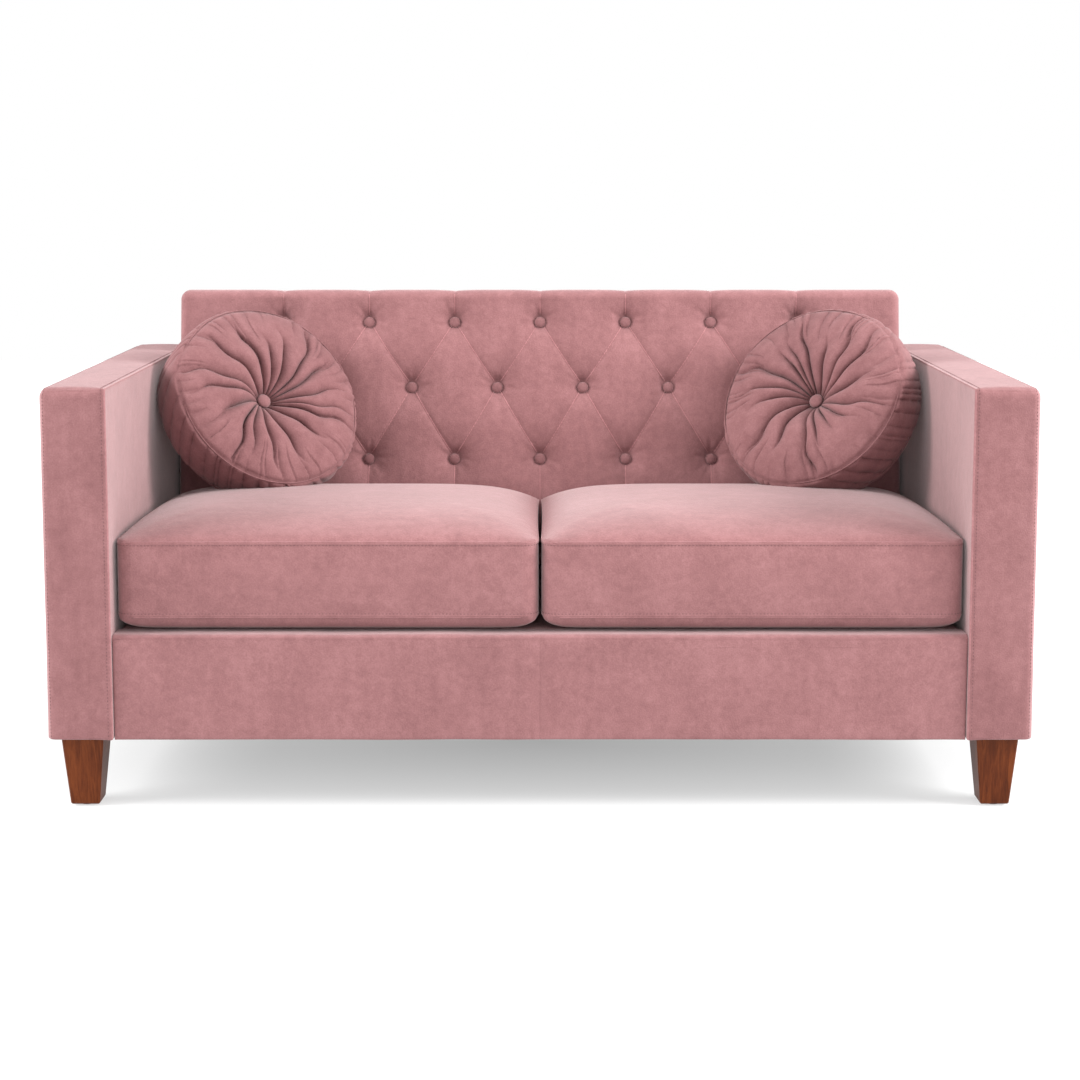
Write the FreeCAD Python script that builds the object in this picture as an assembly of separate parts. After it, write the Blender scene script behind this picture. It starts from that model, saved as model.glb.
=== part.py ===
import FreeCAD
import Part
import math
import os

# Loveseat with square arms, a diamond-buttoned back, two loose seat cushions and two round pillows.
# Millimetres. +X runs to the right as seen from the front, +Y from the front to the rear, +Z up.
# The origin is on the floor, under the middle of the loveseat.

V = FreeCAD.Vector

# Driving dimensions of the whole loveseat
WIDTH = 1530.0
DEPTH = 780.0
BACK_TOP = 775.0
ARM_TOP = 663.0
ARM_WIDTH = 103.0
UNDERSIDE = 113.0
SEAT_RAIL_TOP = 258.0
RECLINE_DEG = 9.0

FRONT = -DEPTH / 2
REAR = DEPTH / 2
ARM_OUT = WIDTH / 2
ARM_IN = ARM_OUT - ARM_WIDTH
FRAME_BOTTOM = UNDERSIDE + 3.0

# Arm: a timber frame under a fabric cover, padded on the inside and the top
ARM_SKIN = 6.0
ARM_PAD_INSIDE = 25.0
ARM_PAD_TOP = 20.0
ARM_REAR_SKIN = 4.0
ARM_CORNER_R = 12.0
FACING_THICK = 14.0
FACING_EDGE_R = 5.0
ARM_FRONT_POST_DEPTH = 60.0
ARM_REAR_POST_DEPTH = 100.0
ARM_TOP_RAIL = 30.0
ARM_BOTTOM_RAIL = 38.0
ARM_FRAME_IN = ARM_IN + ARM_PAD_INSIDE
ARM_FRAME_OUT = ARM_OUT - ARM_SKIN
ARM_FRAME_FRONT = FRONT + FACING_THICK
ARM_FRAME_REAR = REAR - ARM_REAR_SKIN
ARM_FRAME_TOP = ARM_TOP - ARM_PAD_TOP

# Seat base: five rails, corner blocks and a padded front rail
RAIL_THICK = 28.0
SIDE_RAIL_THICK = 30.0
FRONT_RAIL_FACE = FRONT + 20.0
REAR_RAIL_FACE = 318.0
CENTRE_RAIL_TOP = FRAME_BOTTOM + 40.0
SIDE_RAIL_IN = ARM_FRAME_IN - SIDE_RAIL_THICK
CORNER_BLOCK_LEG = 60.0
CORNER_BLOCK_Z = (186.0, 226.0)
APRON_TOP = 278.0
APRON_THICK = 14.0
APRON_ROLL_R = 12.0
APRON_ROLL_DEPTH = 48.0
APRON_ROLL_THICK = 12.0
APRON_GAP = 1.0
DUST_COVER_THICK = 2.0

# Seat suspension: zigzag wire springs from the front rail to the rear rail
SPRINGS_PER_SEAT = 4
SPRING_FIRST_X = 85.0
SPRING_STEP_X = 155.0
SPRING_LEG = 36.0
SPRING_BENDS = 24
WIRE_R = 1.9
CLIP_THICK = 1.2
CLIP_LENGTH = 18.0
CLIP_BASE = 18.0
CLIP_CLEARANCE = 0.05
SPRING_Z = SEAT_RAIL_TOP + CLIP_THICK + CLIP_CLEARANCE + WIRE_R
SPRING_FRONT = FRONT_RAIL_FACE + RAIL_THICK / 2
SPRING_REAR = REAR_RAIL_FACE + RAIL_THICK / 2
DECK_TOP = 278.5
DECK_CLEARANCE = 0.15
DECK_REAR = 245.0

# Back: plywood posts and a board carry a buttoned pad
BACK_HALF = 657.0
BACK_SIDE_WALL = 12.0
BACK_REF_Z = 460.0
BACK_REF_Y = 200.0
BACK_PAD_THICK = 80.0
BACK_BOARD_THICK = 4.0
BACK_TOP_PAD = 20.0
BACK_PAD_BOTTOM = 282.0
BACK_EDGE_R = 13.0
BACK_INNER_REAR = REAR - 6.0
POST_THICK = 22.0
BACK_TOP_RAIL = 28.0
BACK_LOWER_RAIL_Z = (290.0, 330.0)
BACK_LOWER_RAIL_Y = (268.0, 296.0)
BACK_BOARD_Z = (292.0, 748.0)
BACK_RECLINE = math.radians(RECLINE_DEG)

# Buttoning of the back: three rows of buttons, joined by pleats that make diamonds
BUTTON_PITCH = 156.0
BUTTON_ROW_Z = (717.0, 599.0, 470.0)
BUTTON_ROW_COUNT = (7, 6, 7)
BUTTON_R = 10.0
BUTTON_HIGH = 7.0
BUTTON_GAP = 0.4
TUFT_DEPTH = 19.5
TUFT_SEAT_R = 12.0
TUFT_REACH = 74.0
TUFT_LIFT = 1.0
PLEAT_HALF_WIDTH = 8.0
PLEAT_DEPTH = 5.0
PLEAT_DEPTH_AT_BUTTON = 14.0
TWINE_R = 1.5

# Loose seat cushions
CUSHION_MIDDLE_GAP = 4.0
CUSHION_ARM_GAP = 3.0
CUSHION_FRONT = FRONT + 24.0
CUSHION_BACK_GAP = 4.0
CUSHION_BOTTOM = 279.6
CUSHION_LOW_SEAM = 303.0
CUSHION_HIGH_SEAM = 421.0
CUSHION_CROWN = 36.0
CUSHION_REAR_DROP = 22.0
CUSHION_TOP_POWER = 4
CUSHION_UNDER_POWER = 12
CUSHION_CROWN_STEPS = 5
CUSHION_SHOULDER = 0.74
CUSHION_CORNER_R = 25.0
CUSHION_PULL_IN = 3.0
CUSHION_HALF = (ARM_IN - CUSHION_ARM_GAP - CUSHION_MIDDLE_GAP / 2) / 2
CUSHION_COVER_THICK = 2.5
CUSHION_CORE_GAP = 0.5

# Round pillows, leaning on the back beside each arm
PILLOW_R = 168.0
PILLOW_RIM_HALF = 42.0
PILLOW_BAND_BULGE = 8.0
PILLOW_CREST_R = 80.0
PILLOW_CREST_HALF = 60.0
PILLOW_WAIST_HALF = 15.0
PILLOW_BUTTON_R = 12.5
PILLOW_BUTTON_HIGH = 9.0
PILLOW_PLEATS = 16
PILLOW_PLEAT_DEG = 3.5
PILLOW_PLEAT_DEPTH = 4.0
PILLOW_PLEAT_SPAN = (20.0, 158.0)
PILLOW_COVER_THICK = 2.0
PILLOW_FILL_GAP = 0.5
PILLOW_CENTRE = V(491.0, 75.6, 582.4)
PILLOW_TURN_DEG = 38.0
PILLOW_LEAN_DEG = 31.0
PILLOW_SETTLED = 135.0

# Legs: tapered timber, screwed into steel plates under the arms
LEG_TOP = 66.0
LEG_FOOT = 45.0
LEG_CHAMFER = 2.0
LEG_INSET_SIDE = 18.0
LEG_INSET_FRONT = 19.0
LEG_INSET_REAR = 12.0
PLATE_SIDE = 60.0
PLATE_THICK = 2.5
LEG_HEAD = FRAME_BOTTOM - PLATE_THICK
GLIDE_R = 13.0
GLIDE_HIGH = 3.0
LEG_BOLT_R = 4.0
LEG_BOLT_IN_LEG = 30.0
LEG_BOLT_IN_RAIL = 24.0
SCREW_R = 2.1
SCREW_HEAD_R = 4.2
SCREW_HEAD_HIGH = 1.6
SCREW_LONG = 18.0
SCREW_OFFSET = 22.0
LEG_X = ARM_OUT - LEG_INSET_SIDE - LEG_TOP / 2
LEG_Y = (FRONT + LEG_INSET_FRONT + LEG_TOP / 2, REAR - LEG_INSET_REAR - LEG_TOP / 2)

# Bolts that hold the arms and the back to the seat base
BOLT_R = 4.0
BOLT_HEAD_R = 8.0
BOLT_HEAD_HIGH = 6.0
BOLT_BITE = 36.0
BOLT_HOLE_GAP = 0.2
ARM_BOLT_Y = (-329.0, 302.0)
BASE_BOLT_Z = (172.0, 240.0)
POST_X = (-BACK_HALF + BACK_SIDE_WALL + POST_THICK / 2, 0.0, BACK_HALF - BACK_SIDE_WALL - POST_THICK / 2)


def block(x, y, z):
    """Box between two limits on each axis."""
    return Part.makeBox(x[1] - x[0], y[1] - y[0], z[1] - z[0], V(x[0], y[0], z[0]))


def rod(start, direction, radius, length):
    return Part.makeCylinder(radius, length, start, direction)


def mirrored(shape):
    """The same piece for the other side of the loveseat."""
    return shape.mirror(V(0, 0, 0), V(1, 0, 0))


def prism(points, along):
    """Solid pushed from a flat outline of straight sides."""
    return Part.Face(Part.makePolygon(points + points[:1])).extrude(along)


def edges_where(shape, test):
    """Straight edges whose two ends both pass the test."""
    return [e for e in shape.Edges if len(e.Vertexes) == 2 and all(test(v.Point) for v in e.Vertexes)]


def group(shapes):
    return Part.makeCompound(list(shapes))


# Seat base


def arm_bolt_axes():
    """Where each bolt enters the right side rail from inside the base."""
    return [V(SIDE_RAIL_IN, y, z) for y in ARM_BOLT_Y for z in BASE_BOLT_Z]


def back_bolt_axes():
    """Where each bolt enters the rear rail from inside the base."""
    return [V(x, REAR_RAIL_FACE, z) for x in POST_X for z in BASE_BOLT_Z]


def bolt(at, along, grip):
    head = rod(at - along * BOLT_HEAD_HIGH, along, BOLT_HEAD_R, BOLT_HEAD_HIGH)
    return head.fuse(rod(at, along, BOLT_R, grip + BOLT_BITE))


def arm_bolts():
    right = [bolt(p, V(1, 0, 0), SIDE_RAIL_THICK) for p in arm_bolt_axes()]
    return group(right + [mirrored(b) for b in right])


def back_bolts():
    return group(bolt(p, V(0, 1, 0), RAIL_THICK) for p in back_bolt_axes())


def drilled_for_arm_bolts(shape):
    long = SIDE_RAIL_THICK + BOLT_BITE
    holes = [rod(p, V(1, 0, 0), BOLT_R + BOLT_HOLE_GAP, long) for p in arm_bolt_axes()]
    return shape.cut(holes)


def drilled_for_back_bolts(shape):
    long = RAIL_THICK + BOLT_BITE
    holes = [rod(p, V(0, 1, 0), BOLT_R + BOLT_HOLE_GAP, long) for p in back_bolt_axes()]
    return shape.cut(holes)


def front_rail():
    return block(
        (-ARM_FRAME_IN, ARM_FRAME_IN),
        (FRONT_RAIL_FACE, FRONT_RAIL_FACE + RAIL_THICK),
        (FRAME_BOTTOM, SEAT_RAIL_TOP),
    )


def rear_rail():
    rail = block(
        (-SIDE_RAIL_IN, SIDE_RAIL_IN),
        (REAR_RAIL_FACE, REAR_RAIL_FACE + RAIL_THICK),
        (FRAME_BOTTOM, SEAT_RAIL_TOP),
    )
    return drilled_for_back_bolts(rail)


def side_rail():
    rail = block(
        (SIDE_RAIL_IN, ARM_FRAME_IN),
        (FRONT_RAIL_FACE + RAIL_THICK, REAR_RAIL_FACE + RAIL_THICK),
        (FRAME_BOTTOM, SEAT_RAIL_TOP),
    )
    return drilled_for_arm_bolts(rail)


def centre_rail():
    return block(
        (-SIDE_RAIL_THICK / 2, SIDE_RAIL_THICK / 2),
        (FRONT_RAIL_FACE + RAIL_THICK, REAR_RAIL_FACE),
        (FRAME_BOTTOM, CENTRE_RAIL_TOP),
    )


def corner_blocks():
    """Glued triangles that keep the seat base square."""
    blocks = []
    for y, inward in ((FRONT_RAIL_FACE + RAIL_THICK, 1), (REAR_RAIL_FACE, -1)):
        low = CORNER_BLOCK_Z[0]
        corner = V(SIDE_RAIL_IN, y, low)
        along_rail = V(SIDE_RAIL_IN - CORNER_BLOCK_LEG, y, low)
        along_side = V(SIDE_RAIL_IN, y + inward * CORNER_BLOCK_LEG, low)
        right = prism([corner, along_rail, along_side], V(0, 0, CORNER_BLOCK_Z[1] - low))
        blocks += [right, mirrored(right)]
    return group(blocks)


def front_rail_cover():
    """Padded fabric over the front rail, rolled over its top edge."""
    face = FRONT_RAIL_FACE - APRON_THICK
    roll_rear = face + APRON_ROLL_DEPTH
    roll_low = APRON_TOP - APRON_ROLL_THICK
    half = ARM_IN - APRON_GAP
    outline = [
        V(-half, face, UNDERSIDE),
        V(-half, face, APRON_TOP),
        V(-half, roll_rear, APRON_TOP),
        V(-half, roll_rear, roll_low),
        V(-half, FRONT_RAIL_FACE, roll_low),
        V(-half, FRONT_RAIL_FACE, UNDERSIDE),
    ]
    cover = prism(outline, V(2 * half, 0, 0))
    nose = edges_where(cover, lambda p: abs(p.y - face) < 1e-6 and abs(p.z - APRON_TOP) < 1e-6)
    return cover.makeFillet(APRON_ROLL_R, nose)


def seat_deck():
    roll_rear = FRONT_RAIL_FACE - APRON_THICK + APRON_ROLL_DEPTH
    return block(
        (-SIDE_RAIL_IN, SIDE_RAIL_IN),
        (roll_rear, DECK_REAR),
        (SPRING_Z + WIRE_R + DECK_CLEARANCE, DECK_TOP),
    )


def dust_cover():
    """Thin cloth under the frame, cut away round the leg plates."""
    margin = 1.0
    cloth = block(
        (-ARM_FRAME_OUT + margin, ARM_FRAME_OUT - margin),
        (FRONT_RAIL_FACE + margin, BACK_INNER_REAR - margin),
        (FRAME_BOTTOM - DUST_COVER_THICK, FRAME_BOTTOM),
    )
    half = PLATE_SIDE / 2 + LEG_TOP - PLATE_SIDE
    windows = [
        block((x - half, x + half), (y - half, y + half), (UNDERSIDE, FRAME_BOTTOM))
        for x in (-LEG_X, LEG_X)
        for y in LEG_Y
    ]
    return cloth.cut(windows)


# Seat springs


def spring_columns(side):
    """X of each spring under one seat; side is -1 on the left and 1 on the right."""
    return [side * (SPRING_FIRST_X + i * SPRING_STEP_X) for i in range(SPRINGS_PER_SEAT)]


def zigzag_spring(x):
    """Wire that goes from side to side in straight legs joined by half turns."""
    pitch = (SPRING_REAR - SPRING_FRONT) / SPRING_BENDS
    edges = []
    side = 1.0
    for bend in range(SPRING_BENDS + 1):
        y = SPRING_FRONT + bend * pitch
        start = V(x - side * SPRING_LEG / 2, y, SPRING_Z)
        end = V(x + side * SPRING_LEG / 2, y, SPRING_Z)
        edges.append(Part.LineSegment(start, end).toShape())
        if bend < SPRING_BENDS:
            crest = end + V(side * pitch / 2, pitch / 2, 0)
            edges.append(Part.Arc(end, crest, end + V(0, pitch, 0)).toShape())
        side = -side
    path = Part.Wire(edges)
    section = Part.Wire(Part.makeCircle(WIRE_R, V(x - SPRING_LEG / 2, SPRING_FRONT, SPRING_Z), V(1, 0, 0)))
    return path.makePipeShell([section], True, False)


def seat_springs(side):
    return group(zigzag_spring(x) for x in spring_columns(side))


def spring_clip(x, y):
    """Steel strip nailed to the rail and rolled round the end of a spring."""
    left = x - CLIP_LENGTH / 2
    loop = rod(V(left, y, SPRING_Z), V(1, 0, 0), WIRE_R + CLIP_CLEARANCE + CLIP_THICK, CLIP_LENGTH)
    base = block(
        (left, left + CLIP_LENGTH),
        (y - CLIP_BASE / 2, y + CLIP_BASE / 2),
        (SEAT_RAIL_TOP, SEAT_RAIL_TOP + CLIP_THICK),
    )
    wire_room = rod(V(left, y, SPRING_Z), V(1, 0, 0), WIRE_R + CLIP_CLEARANCE, CLIP_LENGTH)
    return base.fuse(loop).cut(wire_room)


def spring_clips():
    columns = spring_columns(-1) + spring_columns(1)
    return group(spring_clip(x, y) for x in columns for y in (SPRING_FRONT, SPRING_REAR))


# Arms, made for the right side and mirrored


def arm_post(y):
    post = block(
        (ARM_FRAME_IN, ARM_FRAME_OUT),
        y,
        (FRAME_BOTTOM + ARM_BOTTOM_RAIL, ARM_FRAME_TOP - ARM_TOP_RAIL),
    )
    return drilled_for_arm_bolts(post)


def arm_front_post():
    return arm_post((ARM_FRAME_FRONT, ARM_FRAME_FRONT + ARM_FRONT_POST_DEPTH))


def arm_rear_post():
    return arm_post((ARM_FRAME_REAR - ARM_REAR_POST_DEPTH, ARM_FRAME_REAR))


def arm_top_rail():
    return block(
        (ARM_FRAME_IN, ARM_FRAME_OUT),
        (ARM_FRAME_FRONT, ARM_FRAME_REAR),
        (ARM_FRAME_TOP - ARM_TOP_RAIL, ARM_FRAME_TOP),
    )


def arm_bottom_rail():
    rail = block(
        (ARM_FRAME_IN, ARM_FRAME_OUT),
        (ARM_FRAME_FRONT, ARM_FRAME_REAR),
        (FRAME_BOTTOM, FRAME_BOTTOM + ARM_BOTTOM_RAIL),
    )
    bolt_holes = [rod(V(LEG_X, y, FRAME_BOTTOM), V(0, 0, 1), LEG_BOLT_R, LEG_BOLT_IN_RAIL) for y in LEG_Y]
    screw_holes = [rod(p, V(0, 0, 1), SCREW_R, SCREW_LONG) for p in plate_screw_points()]
    return rail.cut(bolt_holes + screw_holes)


def arm_cover():
    """Padded fabric over the arm frame, open below, in front and where the seat base meets the arm."""
    cover = block((ARM_IN, ARM_OUT), (ARM_FRAME_FRONT, REAR), (UNDERSIDE, ARM_TOP))
    long_edges = edges_where(cover, lambda p: abs(p.z - ARM_TOP) < 1e-6)
    long_edges = [e for e in long_edges if abs(e.tangentAt(e.FirstParameter).y) > 0.5]
    cover = cover.makeFillet(ARM_CORNER_R, long_edges)
    over = 1.0
    frame_room = block(
        (ARM_FRAME_IN, ARM_FRAME_OUT),
        (ARM_FRAME_FRONT - over, ARM_FRAME_REAR),
        (UNDERSIDE - over, ARM_FRAME_TOP),
    )
    base_room = block(
        (ARM_IN - over, ARM_FRAME_IN),
        (ARM_FRAME_FRONT - over, ARM_FRAME_REAR),
        (UNDERSIDE - over, SEAT_RAIL_TOP),
    )
    return cover.cut([frame_room, base_room])


def arm_facing():
    """Upholstered panel on the front end of the arm."""
    panel = block((ARM_IN, ARM_OUT), (FRONT, ARM_FRAME_FRONT), (UNDERSIDE, ARM_TOP))
    top_corners = edges_where(panel, lambda p: abs(p.z - ARM_TOP) < 1e-6)
    top_corners = [e for e in top_corners if abs(e.tangentAt(e.FirstParameter).y) > 0.5]
    panel = panel.makeFillet(ARM_CORNER_R, top_corners)
    front_edges = [e for e in panel.Edges if all(abs(v.Point.y - FRONT) < 1e-6 for v in e.Vertexes)]
    return panel.makeFillet(FACING_EDGE_R, front_edges)


# Back


def back_plane_y(z, behind=0.0):
    """Y of the pad's reclined front plane at a height, or of a plane that lies behind it."""
    return BACK_REF_Y + (z - BACK_REF_Z) * math.tan(BACK_RECLINE) + behind


def back_point(x, z, out=0.0):
    """Point over the pad's front plane, out along its normal."""
    normal = V(0, -math.cos(BACK_RECLINE), math.sin(BACK_RECLINE))
    return V(x, back_plane_y(z), z) + normal * out


def back_post(x):
    """Plywood upright, narrow behind the rear rail and reclined in front, drilled for bolts and knots."""
    rail_rear = REAR_RAIL_FACE + RAIL_THICK
    knee = SEAT_RAIL_TOP + 10.0
    head = BACK_TOP - BACK_TOP_PAD - BACK_TOP_RAIL
    behind = BACK_PAD_THICK + BACK_BOARD_THICK
    left = x - POST_THICK / 2
    outline = [
        V(left, rail_rear, FRAME_BOTTOM),
        V(left, BACK_INNER_REAR, FRAME_BOTTOM),
        V(left, BACK_INNER_REAR, head),
        V(left, back_plane_y(head, behind), head),
        V(left, back_plane_y(BACK_LOWER_RAIL_Z[0], behind), BACK_LOWER_RAIL_Z[0]),
        V(left, rail_rear, knee),
    ]
    post = drilled_for_back_bolts(prism(outline, V(POST_THICK, 0, 0)))
    for row in buttons_on_back():
        for button_x, z in row:
            if abs(button_x - x) < POST_THICK:
                post = post.cut(button_twine(button_x, z))
    return post


def back_top_rail():
    high = BACK_TOP - BACK_TOP_PAD
    half = BACK_HALF - BACK_SIDE_WALL
    front = back_plane_y(high, BACK_PAD_THICK + BACK_BOARD_THICK)
    return block((-half, half), (front, BACK_INNER_REAR), (high - BACK_TOP_RAIL, high))


def back_lower_rail():
    """Two lengths of timber between the three posts."""
    lengths = [
        block((a + POST_THICK / 2, b - POST_THICK / 2), BACK_LOWER_RAIL_Y, BACK_LOWER_RAIL_Z)
        for a, b in zip(POST_X, POST_X[1:])
    ]
    return group(lengths)


def buttons_on_back():
    """Rows of (x, z) places, top row first."""
    rows = []
    for z, count in zip(BUTTON_ROW_Z, BUTTON_ROW_COUNT):
        rows.append([((i - (count - 1) / 2) * BUTTON_PITCH, z) for i in range(count)])
    return rows


def back_board():
    """Hardboard behind the pad, drilled for the button twines."""
    low, high = BACK_BOARD_Z
    front, rear = BACK_PAD_THICK, BACK_PAD_THICK + BACK_BOARD_THICK
    half = BACK_HALF - BACK_SIDE_WALL
    outline = [
        V(-half, back_plane_y(low, front), low),
        V(-half, back_plane_y(low, rear), low),
        V(-half, back_plane_y(high, rear), high),
        V(-half, back_plane_y(high, front), high),
    ]
    board = prism(outline, V(2 * half, 0, 0))
    return board.cut([button_twine(x, z) for row in buttons_on_back() for x, z in row])


def tuft_hollow(x, z):
    """Trumpet-shaped hollow that a button pulls into the pad."""
    radius = ((TUFT_REACH - TUFT_SEAT_R) ** 2 + (TUFT_DEPTH + TUFT_LIFT) ** 2) / (2 * (TUFT_DEPTH + TUFT_LIFT))
    middle = (TUFT_REACH + TUFT_SEAT_R) / 2
    middle_out = TUFT_LIFT - radius + math.sqrt(radius**2 - (TUFT_REACH - middle) ** 2)
    above = TUFT_LIFT + 3.0
    rim = V(TUFT_REACH, 0, TUFT_LIFT)
    seat = V(TUFT_SEAT_R, 0, -TUFT_DEPTH)
    flare = Part.Arc(seat, V(middle, 0, middle_out), rim).toShape()
    rest = Part.makePolygon([rim, V(TUFT_REACH, 0, above), V(0, 0, above), V(0, 0, -TUFT_DEPTH), seat])
    hollow = Part.Face(Part.Wire([flare] + rest.Edges)).revolve(V(0, 0, 0), V(0, 0, 1), 360)
    turn = FreeCAD.Rotation(V(1, 0, 0), 90 - RECLINE_DEG)
    hollow.Placement = FreeCAD.Placement(back_point(x, z), turn)
    return hollow


def pleat(a, b, depth_a, depth_b):
    """V-shaped fold in the pad from one place to another, shallower half way."""
    run = back_point(b[0], b[1]) - back_point(a[0], a[1])
    out = back_point(0, 0, 1) - back_point(0, 0)
    across = run.cross(out).normalize()
    sections = []
    for share, depth in ((0.0, depth_a), (0.5, PLEAT_DEPTH), (1.0, depth_b)):
        foot = back_point(a[0], a[1]) + run * share
        spread = across * PLEAT_HALF_WIDTH
        corners = [foot + spread + out * TUFT_LIFT, foot - spread + out * TUFT_LIFT, foot - out * depth]
        sections.append(Part.makePolygon(corners + corners[:1]))
    return Part.makeLoft(sections, True, True)


def back_pleats():
    """Diagonal folds from each button to its neighbours, and upright ones to the top and the seat."""
    top, middle, low = buttons_on_back()
    deep = PLEAT_DEPTH_AT_BUTTON
    folds = [
        pleat(end, centre, deep, deep)
        for row in (top, low)
        for end in row
        for centre in middle
        if abs(abs(end[0] - centre[0]) - BUTTON_PITCH / 2) < 1e-6
    ]
    folds += [pleat((x, z), (x, BACK_TOP + BACK_EDGE_R), deep, PLEAT_DEPTH) for x, z in top]
    folds += [pleat((x, z), (x, BACK_PAD_BOTTOM - BACK_EDGE_R), deep, PLEAT_DEPTH) for x, z in low]
    return folds


def back_pad():
    """Buttoned foam and fabric on the front, top and ends of the back; hollow where the frame stands."""
    start = -BACK_HALF
    outline = [
        V(start, back_plane_y(BACK_PAD_BOTTOM), BACK_PAD_BOTTOM),
        V(start, back_plane_y(BACK_TOP), BACK_TOP),
        V(start, BACK_INNER_REAR, BACK_TOP),
        V(start, BACK_INNER_REAR, BACK_PAD_BOTTOM),
    ]
    pad = prism(outline, V(2 * BACK_HALF, 0, 0))

    def on_front(p):
        return abs(p.y - back_plane_y(p.z)) < 1e-6

    rounded = [e for e in edges_where(pad, on_front) if e.CenterOfMass.z > BACK_PAD_BOTTOM + 1.0]
    pad = pad.makeFillet(BACK_EDGE_R, rounded)
    room_half = BACK_HALF - BACK_SIDE_WALL
    room_top = BACK_TOP - BACK_TOP_PAD
    over = 1.0
    low = BACK_PAD_BOTTOM - over
    room = prism(
        [
            V(-room_half, back_plane_y(low, BACK_PAD_THICK), low),
            V(-room_half, back_plane_y(room_top, BACK_PAD_THICK), room_top),
            V(-room_half, REAR, room_top),
            V(-room_half, REAR, low),
        ],
        V(2 * room_half, 0, 0),
    )
    places = [place for row in buttons_on_back() for place in row]
    hollows = [tuft_hollow(x, z) for x, z in places]
    twines = [button_twine(x, z) for x, z in places]
    return pad.cut([room]).cut(back_pleats()).cut(hollows).cut(twines)


def domed_button(radius, high):
    """Covered button: flat underneath with a spherical crown, standing on the XY plane."""
    edge = high * 0.35
    ball = (radius**2 + (high - edge) ** 2) / (2 * (high - edge))
    middle = V(radius / 2, 0, high - ball + math.sqrt(ball**2 - radius**2 / 4))
    crown = Part.Arc(V(radius, 0, edge), middle, V(0, 0, high)).toShape()
    rest = Part.makePolygon([V(0, 0, high), V(0, 0, 0), V(radius * 0.9, 0, 0), V(radius, 0, edge)])
    return Part.Face(Part.Wire([crown] + rest.Edges)).revolve(V(0, 0, 0), V(0, 0, 1), 360)


def tuft_button(x, z):
    button = domed_button(BUTTON_R, BUTTON_HIGH)
    turn = FreeCAD.Rotation(V(1, 0, 0), 90 - RECLINE_DEG)
    button.Placement = FreeCAD.Placement(back_point(x, z, BUTTON_GAP - TUFT_DEPTH), turn)
    return button


def button_twine(x, z):
    """Waxed twine from the button through the pad to a knot behind the board."""
    start = back_point(x, z, BUTTON_GAP - TUFT_DEPTH)
    inward = back_point(0, 0, -1) - back_point(0, 0)
    through = (BACK_PAD_THICK + BACK_BOARD_THICK) * math.cos(BACK_RECLINE) - TUFT_DEPTH + BUTTON_GAP
    return rod(start, inward, TWINE_R, through + TWINE_R)


def tuft_buttons():
    return group(tuft_button(x, z) for row in buttons_on_back() for x, z in row)


def button_twines():
    return group(button_twine(x, z) for row in buttons_on_back() for x, z in row)


def outside_back():
    """Flat upholstered panel that closes the rear."""
    panel = block((-BACK_HALF, BACK_HALF), (BACK_INNER_REAR, REAR), (UNDERSIDE, BACK_TOP - 1.0))
    rear_edges = edges_where(panel, lambda p: abs(p.y - REAR) < 1e-6 and p.z > UNDERSIDE - 1.0)
    return panel.makeFillet(ARM_REAR_SKIN, rear_edges)


# Loose seat cushions


def cushion_outline(skin, z):
    """Level outline of a cushion, centred on X, with eased corners and sides drawn in at the middle."""
    half = CUSHION_HALF - skin
    front = CUSHION_FRONT + skin
    rear = back_plane_y(z) - CUSHION_BACK_GAP - skin
    middle = (front + rear) / 2
    corner = CUSHION_CORNER_R - skin
    bevel = corner * (1.0 - math.sqrt(0.5))
    pull = CUSHION_PULL_IN

    def arc(a, b, c):
        return Part.Arc(V(a[0], a[1], z), V(b[0], b[1], z), V(c[0], c[1], z)).toShape()

    edges = [
        arc((-half + corner, front), (0, front + pull), (half - corner, front)),
        arc((half - corner, front), (half - bevel, front + bevel), (half, front + corner)),
        arc((half, front + corner), (half - pull, middle), (half, rear - corner)),
        arc((half, rear - corner), (half - bevel, rear - bevel), (half - corner, rear)),
        arc((half - corner, rear), (0, rear - pull), (-half + corner, rear)),
        arc((-half + corner, rear), (-half + bevel, rear - bevel), (-half, rear - corner)),
        arc((-half, rear - corner), (-half + pull, middle), (-half, front + corner)),
        arc((-half, front + corner), (-half + bevel, front + bevel), (-half + corner, front)),
    ]
    return Part.Wire(edges)


def crowned_panel(seam, rise, power, skin, drop=0.0):
    """Surface over a whole cushion: level with the seam along every side, swelling to the middle.

    Lofted from front to rear through sections of a shoulder, a crown and a shoulder. The seam may
    drop towards the rear.
    """
    half = CUSHION_HALF - skin
    front = CUSHION_FRONT + skin
    rear = back_plane_y(seam) - CUSHION_BACK_GAP - skin
    level = seam - math.copysign(skin, rise)
    edge = 1.05
    shoulder = CUSHION_SHOULDER
    turn = (shoulder + edge) / 2
    spans = ((-edge, -turn, -shoulder), (-shoulder, 0.0, shoulder), (shoulder, turn, edge))
    sections = []
    for i in range(-CUSHION_CROWN_STEPS, CUSHION_CROWN_STEPS + 1):
        share = i / CUSHION_CROWN_STEPS
        v = edge * math.copysign(1.0 - (1.0 - abs(share)) ** 2, share)
        y = (front + rear) / 2 + v * (rear - front) / 2
        swell = rise * (1.0 - abs(v) ** power)
        edge_z = level - drop * ((1.0 + v) / 2) ** 2
        arcs = []
        for span in spans:
            points = [V(u * half, y, edge_z + swell * (1.0 - abs(u) ** power)) for u in span]
            arcs.append(Part.Arc(*points).toShape())
        sections.append(Part.Wire(arcs))
    return Part.makeLoft(sections, False, False, False, 3)


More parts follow.
